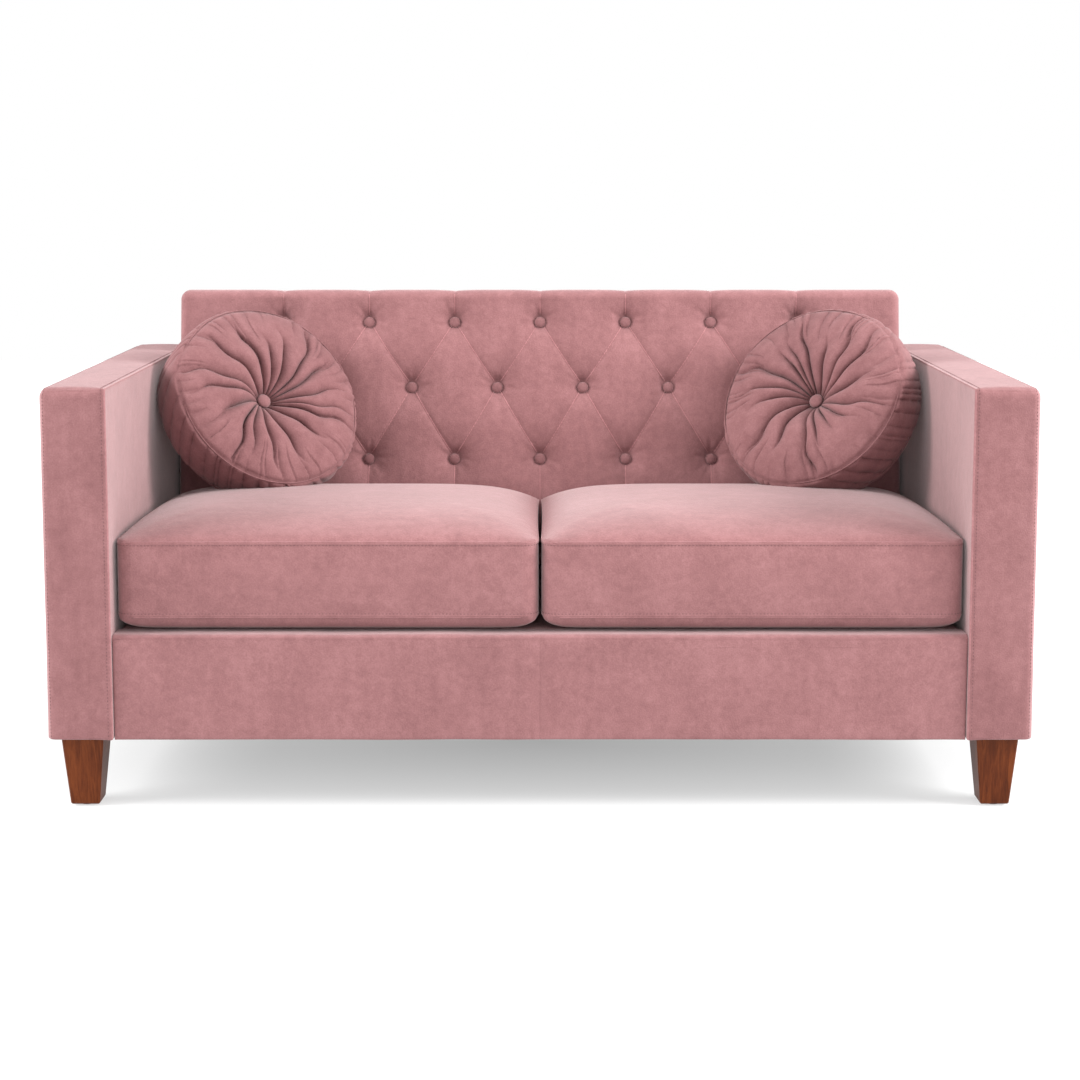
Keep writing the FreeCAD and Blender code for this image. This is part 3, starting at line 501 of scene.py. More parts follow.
velvet_upright = velvet("velvet_upright", (55, 40, 7))
velvet_level = velvet("velvet_level", (9, 60, 40))
# The welt velvet is paler than the rest: a painted highlight along the seam ridges.
velvet_welt_painted_highlight = velvet("velvet_welt_painted_highlight", 60, 0.0003, 1.12)
slack = 1e-5
arm_low, arm_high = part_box("right_arm_facing")[0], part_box("right_arm_cover")[1]
arm_edges = (0.0015, 0.0035, 0.006, 0.009, 0.0125, 0.0165)
inner_roll, outer_roll, rear_roll, foot_roll = 0.0045, 0.013, 0.016, 0.004
front_roll_gain, front_roll_run = 0.0115, 0.032
arm_middle, arm_crown_half, arm_top_crown, arm_front_crown = 0.7135, 0.048, 0.0016, 0.0008


def clamp(value):
    """A value held between 0 and 1."""
    return np.clip(value, 0.0, 1.0)


def arm_rounded(points):
    """Eases the right arm's edges: soft rolls outside and in front, a crisp inner seam."""
    x, y, z = points.T
    over = clamp((x - arm_low.x) / front_roll_run)
    roll = inner_roll + front_roll_gain * over * over * (3 - 2 * over)
    core = np.stack([np.clip(x, arm_low.x + inner_roll, arm_high.x - outer_roll),
                     np.clip(y, arm_low.y + roll, arm_high.y - rear_roll),
                     np.clip(z, arm_low.z + foot_roll, arm_high.z - roll)], axis=1)
    size = np.stack([np.where(x < core[:, 0], inner_roll, outer_roll),
                     np.where(y < core[:, 1], roll, rear_roll),
                     np.where(z < core[:, 2], foot_roll, roll)], axis=1)
    out = (points - core) / size
    length = np.linalg.norm(out, axis=1)
    eased = core + size * out / np.maximum(length, 1.0)[:, None]
    crown = clamp(1 - ((x - arm_middle) / arm_crown_half) ** 2)
    eased[:, 2] += arm_top_crown * crown * (z > arm_high.z - slack)
    eased[:, 1] -= arm_front_crown * crown * (y < arm_low.y + slack)
    return eased


def edge_loops(axis, low, high, steps):
    """Edge loops at the same steps in from two opposite faces."""
    cut_loops(axis, [low + step for step in steps] + [high - step for step in steps])


right_arm = start_box("right_arm_upholstery", arm_low, arm_high)
inner_stitch, outer_stitch = arm_low.x + 0.0068, arm_high.x - 0.0062
arm_rim, arm_step = arm_edges[-1], 0.016
open_mesh()
edge_loops(0, arm_low.x, arm_high.x, arm_edges)
cut_loops(0, (inner_stitch, outer_stitch))
cut_loops(0, evenly(arm_low.x + arm_rim, arm_high.x - arm_rim, 0.012))
edge_loops(1, arm_low.y, arm_high.y, arm_edges)
cut_loops(1, evenly(arm_low.y + arm_rim, arm_high.y - arm_rim, arm_step))
cut_loops(2, [arm_low.z + e for e in arm_edges[:3]] + [arm_high.z - e for e in arm_edges])
cut_loops(2, evenly(arm_low.z + arm_edges[2], arm_high.z - arm_rim, arm_step))
close_mesh()


def on_arm_strip(p):
    """Whether a point is on the strip up the arm's front and along its top."""
    in_front, on_top = p.y < arm_low.y + slack, p.z > arm_high.z - slack
    return (in_front or on_top) and p.y < arm_high.y - 0.02 and p.z > arm_low.z + 0.006


def eased_line(line):
    """Lays a line of the plain box on the eased arm."""
    for spline in line.data.splines:
        flat = np.array([p.co[:3] for p in spline.points])
        for point, place in zip(spline.points, arm_rounded(flat)):
            point.co = (*place, 1.0)
    return line


lines = [line_along(right_arm, lambda p, s=at: near(p.x, s) and on_arm_strip(p))
         for at in (inner_stitch, outer_stitch)]
rows = [stitched(eased_line(line)) for line in lines]

welt, welt_bend, welt_turn = 0.0016, 0.008, 0.012
welt_x, welt_y, welt_z = arm_low.x + welt, arm_low.y + welt, arm_high.z - welt
welt_path = [(welt_x, welt_y, z)
             for z in np.linspace(arm_low.z + 0.002, arm_high.z - welt_turn, 40)]
welt_path += [(welt_x, welt_y + (welt_bend - welt_bend * math.cos(a)),
               welt_z - (welt_bend - welt_bend * math.sin(a)))
              for a in np.linspace(0, math.pi / 2, 9)]
welt_path += [(welt_x, y, welt_z)
              for y in np.linspace(arm_low.y + welt_turn, arm_high.y - welt_bend, 50)]
# The welt is a real ridge; its paler velvet is a painted highlight.
ridge = cords("arm_welt", welt, velvet_welt_painted_highlight, welt_path)
reshape(right_arm, arm_rounded)
soften(right_arm, 0.0006, 0.12)
room_front, room_rear, room_foot = -0.376, 0.386, 0.10
timber_inner, timber_outer, timber_top = 0.6865, 0.7595, 0.643
seat_inner, seat_outer, seat_top = 0.60, 0.6875, 0.2585
hollow(right_arm, (timber_inner, room_front, room_foot), (timber_outer, room_rear, timber_top))
hollow(right_arm, (seat_inner, room_front, room_foot), (seat_outer, room_rear, seat_top))
take(right_arm)
smooth(50)
right_arm.data.materials.append(velvet("velvet_arm_panel", (55, 40, 7), bloom=0.46))
right_arm.data.materials.append(velvet("velvet_arm_strip", (55, 40, 7), pale=0.92, bloom=0.19))
for face in right_arm.data.polygons:
    between_seams = arm_low.x + 0.0030 < face.center.x < outer_stitch
    face.material_index = int(between_seams and (face.normal.y < -0.3 or face.normal.z > 0.3))
right_arm_seams = joined("right_arm_seams", ridge, *rows)
left_arm = mirrored(right_arm, "left_arm_upholstery")
left_arm_seams = mirrored(right_arm_seams, "left_arm_seams")
for side, arm, seams in (("left", left_arm, left_arm_seams), ("right", right_arm, right_arm_seams)):
    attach(arm, "sofa")
    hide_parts(side + "_arm_cover", side + "_arm_facing")
    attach(seams, "sofa")


# Apron: wadding and velvet over the front rail, rolled over its top edge in front of the cushions,
# with one upright seam in the middle where two widths of cloth meet.
apron_low, apron_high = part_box("front_rail_cover")
apron_thick, apron_lip, apron_step = 0.0135, 0.012, 0.016
apron_roll, apron_end_roll, apron_foot_roll = 0.0115, 0.006, 0.003
seam_half, seam_deep = 0.0014, 0.0006
apron = start_box("front_apron", apron_low, (apron_high.x, apron_low.y + apron_thick, apron_high.z))
open_mesh()
cut_loops(2, (apron_high.z - apron_lip,))
pick_faces(lambda middle, normal: normal.y > 0.9 and middle.z > apron_high.z - apron_lip)
bpy.ops.mesh.extrude_region_move(
    TRANSFORM_OT_translate={"value": (0.0, apron_high.y - apron_low.y - apron_thick, 0.0)})
roll_edges(lambda p: near(p.y, apron_low.y) and near(p.z, apron_high.z), apron_roll, 6)
roll_edges(lambda p: near(p.y, apron_low.y) and near(abs(p.x), apron_high.x), apron_end_roll, 4)
roll_edges(lambda p: near(p.y, apron_low.y) and near(p.z, apron_low.z), apron_foot_roll, 3)
cut_loops(0, (-seam_half, 0.0, seam_half))
apron_places = evenly(0.004, apron_high.x - 0.01, apron_step)
cut_loops(0, [side * x for x in apron_places for side in (-1, 1)])
cut_loops(2, evenly(apron_low.z, apron_high.z - apron_lip, apron_step))
pick_points(lambda p, n: near(p.x, 0.0) and n.y < -0.2)
bpy.ops.transform.shrink_fatten(value=-seam_deep)
close_mesh()
soften(apron, 0.0012, 0.13)
smooth(50)
coat(apron, velvet_upright)
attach(apron, "sofa")
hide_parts("front_rail_cover")


# Outside back: a flat panel of velvet over card, pulled down the rear of the frame and tacked
# below, with a plain topstitched seam down each side.
top_slope = 0.0105
rear_low, rear_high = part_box("outside_back")
rear_high.z -= top_slope
rear_seam, rear_seam_half, rear_seam_deep = rear_high.x - 0.012, 0.0015, 0.0013
panel_corner, panel_roll, panel_step = 0.014, 0.0035, 0.022
beside_seam, stitch_end = 0.0052, 0.004
outside_back = start_box("outside_back_panel", rear_low, rear_high)
open_mesh()
roll_edges(lambda p: near(abs(p.x), rear_high.x) and near(p.z, rear_high.z), panel_corner, 6,
           along=1)
roll_edges(lambda p: near(p.y, rear_high.y), panel_roll, 4)
for side in (-1, 1):
    cut_loops(0, [side * (rear_seam + shift)
                  for shift in (-beside_seam, -rear_seam_half, 0.0, rear_seam_half)])
cut_loops(0, evenly(-rear_seam + 0.006, rear_seam - 0.006, panel_step))
cut_loops(2, evenly(rear_low.z, rear_high.z, panel_step))
pick_points(lambda p, n: near(abs(p.x), rear_seam) and n.y > 0.2)
bpy.ops.transform.shrink_fatten(value=-rear_seam_deep)
close_mesh()
soften(outside_back, 0.0008, 0.15)


def on_rear_face(p):
    """Whether a point is on the flat rear, clear of its top and bottom."""
    clear = rear_low.z + stitch_end < p.z < rear_high.z - stitch_end
    return p.y > rear_high.y - 0.0034 and clear


rear_stitch = rear_seam - beside_seam
rear_lines = [line_along(outside_back, lambda p, s=at: near(p.x, s) and on_rear_face(p))
              for at in (-rear_stitch, rear_stitch)]
rear_rows = [stitched(line) for line in rear_lines]
take(outside_back)
smooth(50)
coat(outside_back, velvet_upright)
outside_back_stitches = joined("outside_back_stitches", *rear_rows)
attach(outside_back, "sofa")
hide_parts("outside_back")
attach(outside_back_stitches, "sofa")


# Buttoned back: deep foam and velvet over the back frame. Three rows of buttons draw the cloth in,
# and it folds into pleats from button to button, up over the top edge and down behind the cushions.
pad_low, pad_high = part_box("back_pad")
recline = math.radians(9.0)
pitch, slant_pitch = 0.156, 0.132
button_rows = ((0.717, 7), (0.599, 6), (0.470, 7))
row_heights = [z for z, count in button_rows]
top_row, middle_row, low_row = row_heights
spots = np.array([((i - (count - 1) / 2) * pitch, z)
                         for z, count in button_rows for i in range(count)])
tuft_deep, edge_round = 0.0195, 0.019


def pad_front(z):
    """Y of the reclined front of the pad at a height."""
    seat_y, seat_z = 0.200, 0.460
    return seat_y + (z - seat_z) * math.tan(recline)


def tuft_depth(x, z):
    """How far buttons and pleats draw the cloth in behind the pad's front plane."""
    along = x / pitch
    row = np.interp(z, row_heights[::-1], [2.0, 1.0, 0.0])
    upright = (z > top_row) | (z < low_row)
    spacing = np.where(upright, pitch, slant_pitch)
    off_rising = np.abs(along + row / 2 - np.rint(along + row / 2)) * spacing
    off_falling = np.abs(along - row / 2 - np.rint(along - row / 2)) * spacing
    off = np.where(upright, off_rising, np.minimum(off_rising, off_falling))
    last_pleat, run_out = 3.04, 0.22
    fade = 1.0 - clamp((np.abs(along) - last_pleat) / run_out)

    away = np.hypot(x[:, None] - spots[:, 0],
                    (z[:, None] - spots[:, 1]) / math.cos(recline))
    nearest, reach = away.argmin(axis=1), away.min(axis=1)
    under_button, steep_run, broad_run = 0.0108, 0.0075, 0.064
    beyond = np.maximum(reach - under_button, 0.0)
    steep = np.exp(-beyond / steep_run)
    broad = clamp(1.0 - beyond / broad_run) ** 2
    drawn_in = 0.42 * steep + 0.58 * broad

    turn = np.arctan2(z - spots[nearest, 1], x - spots[nearest, 0])
    gather = (np.sin(9 * turn + nearest) + 0.7 * np.sin(14 * turn + 2.3 * nearest)
              + 0.5 * np.sin(5 * turn + 1.7 * nearest))
    gather_high, gather_ring, gather_width = 0.0006, 0.022, 0.014
    gather *= gather_high * np.exp(-((reach - gather_ring) / gather_width) ** 2)
    valley_deep, valley_run, crease_deep, crease_half = 0.0030, 0.013, 0.0016, 0.0045
    valley = valley_deep * np.exp(-off / valley_run)
    crease = crease_deep * clamp(1.0 - off / crease_half)
    pleat = (valley + crease) * fade * (1.0 - 0.6 * clamp(drawn_in))
    return tuft_deep * drawn_in + pleat + gather


def buttoned(points):
    """Rounds the edges of the pad and draws its front in at the buttons and pleats."""
    x, y, z = points.T
    rear, underside = y > pad_high.y - slack, z < pad_low.z + slack
    core_x = np.clip(x, pad_low.x + edge_round, pad_high.x - edge_round)
    core_z = np.minimum(z, pad_high.z - edge_round)
    core_y = np.maximum(y, np.where(rear, y, pad_front(core_z) + edge_round / math.cos(recline)))
    out = np.stack([x - core_x, y - core_y, z - core_z], axis=1)
    length = np.linalg.norm(out, axis=1)
    unit = np.where((length > 1e-9)[:, None], out / np.maximum(length, 1e-9)[:, None], 0.0)
    rounded = np.stack([core_x, core_y, core_z], axis=1)
    rounded = rounded + unit * np.minimum(length, edge_round)[:, None]
    rounded[underside] = points[underside]

    side_margin, side_run, rear_run = 0.004, 0.02, 0.045
    behind = np.clip(rounded[:, 1] - pad_front(rounded[:, 2]), 0.0, None)
    depth = tuft_depth(rounded[:, 0], rounded[:, 2]) * np.exp(-behind / rear_run)
    depth *= clamp((pad_high.x - side_margin - np.abs(rounded[:, 0])) / side_run)
    face = np.array([0.0, -math.cos(recline), math.sin(recline)])
    inward = np.where((unit @ face > 0.05)[:, None], unit, 0.0)
    inward[rear | underside] = 0.0
    shaped = rounded - inward * depth[:, None]

    top_front, slope_from, slope_run = pad_front(pad_high.z), 0.757, 0.01
    behind = np.clip(shaped[:, 1] - top_front, 0, None) / (pad_high.y - top_front)
    shaped[:, 2] -= top_slope * behind * clamp((shaped[:, 2] - slope_from) / slope_run)
    return shaped


back_pad = start_box("buttoned_back", pad_low, pad_high)
open_mesh()
pick_points(lambda p, n: near(p.y, pad_low.y) and near(p.z, pad_high.z))
bpy.ops.transform.translate(value=(0.0, pad_front(pad_high.z) - pad_low.y, 0.0))
close_mesh()
frame_half, frame_front, frame_top = 0.645, 0.30, 0.755
hollow(back_pad, (-frame_half, frame_front, 0.20), (frame_half, 0.45, frame_top))
take(back_pad)
open_mesh()
cut_loops(0, evenly(pad_low.x, pad_high.x, 0.1195))
cut_loops(2, evenly(pad_low.z, pad_high.z, 0.1235))
pick_faces(lambda middle, normal: normal.y < -0.5 or middle.z > pad_high.z - 0.001
           or abs(middle.x) > pad_high.x - 0.001)
bpy.ops.mesh.subdivide(number_cuts=34)
close_mesh()
reshape(back_pad, buttoned)
smooth(60)
coat(back_pad, velvet_upright)


def fold_path(start, end):
    """Points on the pad along a folded edge between two places."""
    reach, clear_of_button, proud = math.dist(start, end), 0.0115, 0.0002
    share = np.linspace(clear_of_button / reach, 1 - clear_of_button / reach, 60)
    x = start[0] + (end[0] - start[0]) * share
    z = start[1] + (end[1] - start[1]) * share
    return buttoned(np.stack([x, pad_front(z), z], axis=1)) + (0.0, -proud, 0.0)


fold_paths, fold_over, fold_foot, fold_half = [], 0.0105, 0.380, 0.0009
for x, z in spots:
    for across, below in spots:
        if abs(abs(x - across) - pitch / 2) < 1e-6 and 0.1 < z - below < 0.14:
            fold_paths.append(fold_path((x, z), (across, below)))
    if z > middle_row:
        fold_paths.append(fold_path((x, pad_high.z + fold_over), (x, z)))
    if z < middle_row:
        fold_paths.append(fold_path((x, z), (x, fold_foot)))
# The cords are the real folded edges; their much paler velvet is a painted highlight.
velvet_fold_painted_highlight = velvet("velvet_fold_painted_highlight", 60, 0.0003, 1.42)
back_folds = cords("back_pleat_folds", fold_half, velvet_fold_painted_highlight, *fold_paths)
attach(back_folds, "sofa")
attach(back_pad, "sofa")
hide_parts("back_pad")


# Covered buttons: round metal moulds capped with the same velvet, which is drawn over the rim. Each
# is sewn on with waxed twine, through the pad to the board behind it.
def covered_button(name, radius, high):
    """A button on the XY plane, with its cloth drawn over the rim."""
    bpy.ops.mesh.primitive_uv_sphere_add(segments=40, ring_count=20, radius=1.0)
    button = named(name)
    rim_level, rim_folds, fold_high = 0.28, 11, 0.012

    def drawn_over(points):
        x, y, z = points.T
        rim = 1.0 + fold_high * np.sin(rim_folds * np.arctan2(y, x)) * (np.abs(z) < 0.5)
        up = np.where(z > 0, rim_level + 0.72 * z, rim_level + rim_level * z)
        return np.stack([x * rim, y * rim, up], axis=1) * (radius, radius, high)

    reshape(button, drawn_over)
    bpy.ops.object.shade_smooth()
    return button


def set_in_place(piece, place):
    """Turns and moves a piece's mesh by a matrix."""
    piece.data.transform(place)
    piece.data.update()
    return piece


button_radius, button_high, button_gap = 0.010, 0.0072, 0.0004
velvet_button = velvet("velvet_button", 60, 0.0004, 0.85)
button_pattern = covered_button("tuft_button", button_radius, button_high)
coat(button_pattern, velvet_button)
out_of_pad = Vector((0.0, -math.cos(recline), math.sin(recline)))
facing_out = Matrix.Rotation(math.radians(90) - recline, 4, "X")
tuft_buttons = []
for x, z in spots:
    take(button_pattern)
    bpy.ops.object.duplicate()
    seat = Vector((x, pad_front(z), z)) - (tuft_deep - button_gap) * out_of_pad
    tuft_buttons.append(set_in_place(bpy.context.object, Matrix.Translation(seat) @ facing_out))
bpy.data.objects.remove(button_pattern)
back_buttons = joined("covered_tuft_buttons", *tuft_buttons)
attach(back_buttons, "sofa")
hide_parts("tuft_buttons")


# Seat cushions: foam blocks in boxed velvet covers that lift off. The top and bottom panels swell
# between the two topstitched seams of the upright border.
low_seam, high_seam = 0.303, 0.421
cushion_left, cushion_right, cushion_front = 0.002, 0.659, -0.366
cushion_round, cushion_step, behind_cushion = 0.025, 0.0135, 0.004


def cushion_rear(z):
    """Y of the reclined rear of a seat cushion at a height."""
    return pad_front(z) - behind_cushion


cushion_back = cushion_rear(low_seam)
cushion = start_box("seat_cushion_right_cover", (cushion_left, cushion_front, low_seam),
                    (cushion_right, cushion_back, high_seam))
border_steps = (0.006, 0.014, 0.026)
border = border_steps[-1]
open_mesh()
roll_edges(lambda p: True, cushion_round, 5, along=2)
edge_loops(0, cushion_left, cushion_right, border_steps)
edge_loops(1, cushion_front, cushion_back, border_steps)
cut_loops(0, evenly(cushion_left + border, cushion_right - border, cushion_step))
cut_loops(1, evenly(cushion_front + border, cushion_back - border, cushion_step))
cut_loops(2, evenly(low_seam, high_seam, cushion_step))
bpy.ops.mesh.select_all(action="SELECT")
bpy.ops.mesh.remove_doubles(threshold=0.0002)
close_mesh()


def cushion_height(z):
    """Height on a cushion's border: 0 at the lower seam, 1 at the upper."""
    return clamp((z - low_seam) / (high_seam - low_seam))


def boxed_swell(points):
    """Crowns the top, curls the bottom up to its seam, draws the sides in, leans the rear back."""
    x, y, z = points.T
    across = 2 * (x - cushion_left) / (cushion_right - cushion_left) - 1
    deep = 2 * (y - cushion_front) / (cushion_back - cushion_front) - 1
    top = z > high_seam - slack
    bottom = z < low_seam + slack
    at_sides, in_front = np.abs(across) > 0.999, deep < -0.999
    crown_high, curl_high, drawn_in, border_bulge = 0.037, 0.0225, 0.0025, 0.003
    crown = clamp(1 - np.abs(across) ** 6) ** 0.68
    crown = crown * clamp(1 - np.abs(deep) ** 5) ** 0.70
    curl = clamp(1 - np.abs(across) ** 26) * clamp(1 - np.abs(deep) ** 34)
    new_z = np.where(top, z + crown_high * crown, z)
    new_z = np.where(bottom, z - curl_high * curl**0.9, new_z)
    new_x = x - np.sign(across) * drawn_in * (1 - deep**2) * at_sides
    lean = (deep + 1) / 2 * (cushion_rear(z) - cushion_back)
    new_y = y + lean + drawn_in * (1 - across**2) * in_front
    bulge = border_bulge * np.sin(np.pi * cushion_height(z)) * ~(top | bottom)
    new_y = new_y - bulge * in_front * (1 - across**8)
    return np.stack([new_x, new_y, new_z], axis=1)


reshape(cushion, boxed_swell)


def swollen(piece, held, frames, pressure, most):
    """Blows a cover up as cloth, held at some points, by at most a distance."""
    rest = np.array([v.co for v in piece.data.vertices])
    pins = piece.vertex_groups.new(name="held")
    pins.add([int(i) for i in np.flatnonzero(held(rest))], 1.0, "REPLACE")
    cloth = piece.modifiers.new("filling", "CLOTH")
    set_up(cloth.settings, quality=6, mass=0.2, tension_stiffness=25.0, compression_stiffness=25.0,
           shear_stiffness=8.0, bending_stiffness=2.0, use_pressure=True,
           uniform_pressure_force=pressure, vertex_group_mass="held")
    cloth.settings.effector_weights.gravity = 0.0
    cloth.collision_settings.use_collision = False
    cloth.point_cache.frame_start, cloth.point_cache.frame_end = 1, frames
    scene = bpy.context.scene
    for step in range(1, frames + 1):
        scene.frame_set(step)
    bpy.context.view_layer.objects.active = piece
    bpy.ops.object.modifier_apply(modifier=cloth.name)
    scene.frame_set(1)
    piece.vertex_groups.clear()

    def limited(points):
        moved = points - rest
        far = np.linalg.norm(moved, axis=1).max()
        return rest + moved * min(1.0, most / max(far, 1e-9))

    reshape(piece, limited)


def at_cushion_seam(points):
    """Which points of a cushion lie on its upper seam, or on or below its lower one."""
    z = points[:, 2]
    return (np.abs(z - high_seam) < slack) | (z < low_seam + slack)


swollen(cushion, at_cushion_seam, frames=14, pressure=4.0, most=0.006)
seam_heights = (low_seam, high_seam)
open_mesh()
pick_edges(lambda p: any(near(p.z, seam) for seam in seam_heights))
bpy.ops.transform.edge_crease(value=1.0)
close_mesh()
modified(cushion, "SUBSURF", levels=1, render_levels=1)
open_mesh()
seam_sides = ((low_seam, 1), (high_seam, -1))
tape_low, tape_high, tape_deep, tape_end, ridge_half = 0.0012, 0.0034, 0.0009, 0.0070, 0.0010
for seam, inward in seam_sides:
    for step in (tape_low, tape_high, beside_seam, tape_end):
        pick_faces(lambda middle, normal: abs(normal.z) < 0.6
                   and low_seam < middle.z < high_seam)
        bpy.ops.mesh.bisect(plane_co=(0.0, 0.0, seam + inward * step), plane_no=(0.0, 0.0, 1.0))
pick_points(lambda p, n: any(near(p.z, seam + inward * step)
                             for seam, inward in seam_sides for step in (tape_low, tape_high)))
bpy.ops.transform.shrink_fatten(value=tape_deep)
close_mesh()
seam_lines = [line_along(cushion, lambda p, s=seam: near(p.z, s)) for seam in seam_heights]
# The seam ridges are real; their paler welt velvet is a painted highlight.
cushion_ridges = [rolled_edge(line, ridge_half, velvet_welt_painted_highlight) for line in seam_lines]
row_levels = [seam + inward * beside_seam for seam, inward in seam_sides]
cushion_rows = [stitched(line_along(cushion, lambda p, s=at: near(p.z, s))) for at in row_levels]
take(cushion)
smooth(38)
coat(cushion, velvet_level)
cushion_seams = joined("seat_cushion_right_seams", *cushion_ridges, *cushion_rows)


def rear_dropped(points):
    """Lets a cushion's top fall towards the back."""
    x, y, z = points.T
    drop = 0.022
    deep = clamp((y - cushion_front) / (cushion_rear(high_seam) - cushion_front))
    return np.stack([x, y, z - drop * deep**2 * cushion_height(z)], axis=1)


reshape(cushion, rear_dropped)
reshape(cushion_seams, rear_dropped)
left_cushion = mirrored(cushion, "seat_cushion_left_cover")
left_cushion_seams = mirrored(cushion_seams, "seat_cushion_left_seams")
for side, cover, seams in (("left", left_cushion, left_cushion_seams),
                           ("right", cushion, cushion_seams)):
    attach(cover, "seat_cushion_" + side)
    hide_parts("seat_cushion_cover_" + side, "seat_cushion_core_" + side)
    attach(seams, "seat_cushion_" + side)


# Round pillows: fibre filled covers of velvet. Each face is gathered into pleats at a covered
# button in its middle, and a ruched band joins the two faces at seams round the rim.
pillow_rim, rim_half = 0.168, 0.042
crest, crest_half, waist_half = 0.080, 0.060, 0.015
pillow_button, pillow_button_high = 0.0125, 0.009
pillow_middle, pillow_settled = Vector((0.491, 0.0756, 0.5824)), 0.135
pillow_lean, pillow_turn = math.radians(90 - 31), math.radians(38)
face_share, band_bulge = 0.80, 0.008
pleat_count, tuck_count, ruche_count = 17, 43, 46
pleat_radii = (0.0, 0.013, 0.022, 0.045, 0.09, 0.13, 0.160, 0.168)
pleat_depths = (0.0, 0.001, 0.0095, 0.0170, 0.0165, 0.0120, 0.0070, 0.0020)
tuck_deep, ruche_deep, ripple_high, rim_seam_deep = 0.0034, 0.0042, 0.0007, 0.0022
# The pillow velvet is darkened in its folds by a painted shade kept on the points.
velvet_pillow = velvet("velvet_pillow", 30, 0.0006, 0.86, 0.14, "painted_fold_shade")


def uneven_folds(angle, chance, count, spread):
    """Splits a turn into folds of uneven width: which fold, how far across it, and its width."""
    widths = 1.0 + spread * chance.uniform(-1, 1, count)
    starts = np.concatenate([[0.0], np.cumsum(widths) / widths.sum()])
    place = (angle / (2 * math.pi)) % 1.0
    fold = np.clip(np.searchsorted(starts, place, side="right") - 1, 0, count - 1)
    within = (place - starts[fold]) / (starts[fold + 1] - starts[fold])
    return fold, within, (widths / widths.mean())[fold]


def pillow_outline(half):
    """Radius and half height of the plain pillow, from its middle to the band."""
    on_face = half < face_share
    flat = np.where(on_face, pillow_rim * clamp(half / face_share), pillow_rim)
    rise = clamp((flat - pillow_button) / (crest - pillow_button))
    inner = waist_half + (crest_half - waist_half) * np.sin(rise * math.pi / 2) ** 0.85
    fall = clamp((flat - crest) / (pillow_rim - crest))
    outer = rim_half + (crest_half - rim_half) * clamp(1 - fall**2.6) ** 0.8
    high = np.where(flat < crest, inner, outer)
    band = clamp((half - face_share) / (1 - face_share))
    high = np.where(on_face, high, rim_half * (1 - band))
    bulge = band_bulge * clamp(1 - (high / rim_half) ** 2) ** 0.5
    return np.where(on_face, flat, pillow_rim + bulge), high


def gathered(points, seed):
    """Turns a ball into a pillow: pleated faces, and the ruched band between.
    Gives its points, and a painted shade for each: how deep in a fold it lies, and a ring round the
    button."""
    chance = np.random.default_rng(seed)
    turn = np.arctan2(points[:, 1], points[:, 0])
    share = np.arccos(np.clip(points[:, 2] / np.linalg.norm(points, axis=1), -1, 1)) / math.pi
    front = np.where(share <= 0.5, 1.0, -1.0)
    half = np.where(share <= 0.5, share, 1 - share) / 0.5
    on_face = half < face_share
    flat, high = pillow_outline(half)
    outward = clamp(flat / pillow_rim)

    # The pleats bend as they run out from the button, and end at different radii.
    drift = chance.uniform(0, 2 * math.pi, 8)
    bend = 0.42 * (1 - outward) ** 1.4 * (1 + 0.5 * np.sin(2 * turn + drift[0]))
    bend = bend + 0.05 * np.sin(4 * outward * math.pi + 3 * turn + drift[1]) * outward
    bent = front * turn + bend + (1 - front) * 0.7
    fold, within, width = uneven_folds(bent, chance, pleat_count, 0.62)
    ends, fade = chance.uniform(0.62, 1.25, pleat_count + 1), 0.30
    starts_deep = clamp((ends[fold] - outward) / fade)
    ends_deep = clamp((ends[fold + 1] - outward) / fade)
    edge = np.where(within < 0.5, starts_deep, ends_deep)
    skew = chance.uniform(0.72, 1.35, pleat_count + 1)[fold]
    puff = np.sin(math.pi * within**skew) ** 0.4
    deep = np.interp(flat, pleat_radii, pleat_depths)
    pleat = -deep * (1 - puff) * edge * np.clip(width, 0.55, 1.25)

    # Small tucks come in from the rim between the pleats.
    small, small_within, _ = uneven_folds(front * turn + 0.5 * bend + 0.4, chance, tuck_count, 0.75)
    reach_in = chance.uniform(0.55, 0.97, tuck_count + 1)[small]
    tucks = (1 - np.sin(math.pi * small_within) ** 0.55) * clamp((outward - reach_in) / 0.14)
    pleat = pleat - tuck_deep * tucks * np.clip((1.0 - outward) / 0.05, 0.35, 1)
    ripple = ripple_high * np.sin(23 * turn + 11 * outward + drift[2])
    pleat = pleat + ripple * clamp(outward - 0.2)

    # The band is ruched on a slant, and the seams draw the rim in.
    slant = 0.10 * np.sin(3 * turn + drift[3]) + 0.13 * (front * high / rim_half)
    ruche, ruche_within, _ = uneven_folds(turn + slant, chance, ruche_count, 0.7)
    strength = chance.uniform(0.3, 1.2, ruche_count)[ruche]
    tuck = -ruche_deep * (1 - np.sin(math.pi * ruche_within) ** 0.6) * strength
    tuck = tuck * (0.55 + 0.45 * np.sin(5 * (high / rim_half) + 4 * turn + drift[4]) ** 2)
    seam = rim_seam_deep * np.exp(-((half - face_share) / 0.016) ** 2)
    wave = (0.0022 * np.sin(2 * turn + drift[5]) + 0.0016 * np.sin(3 * turn + drift[6])
            + 0.0010 * np.sin(7 * turn + drift[7]))
    high = np.where(on_face, high + pleat, high) - seam * on_face
    flat = np.where(on_face, flat, flat + tuck) - seam + wave * outward

    # Painted shade: darkest deep in pleats, tucks and ruches, and in a ring round the button.
    painted_shade = (1 - puff) ** 1.5 * edge * clamp(deep / 0.012) + 0.5 * tucks * (outward < 1)
    button_ring_shade = 0.9 * np.exp(-((flat - pillow_button) / 0.010) ** 2)
    painted_shade = np.where(on_face, painted_shade + button_ring_shade, 0.8 * clamp(-tuck / 0.004))
    shaped = np.stack([flat * np.cos(turn), flat * np.sin(turn), front * high], axis=1)
    return shaped, clamp(painted_shade)


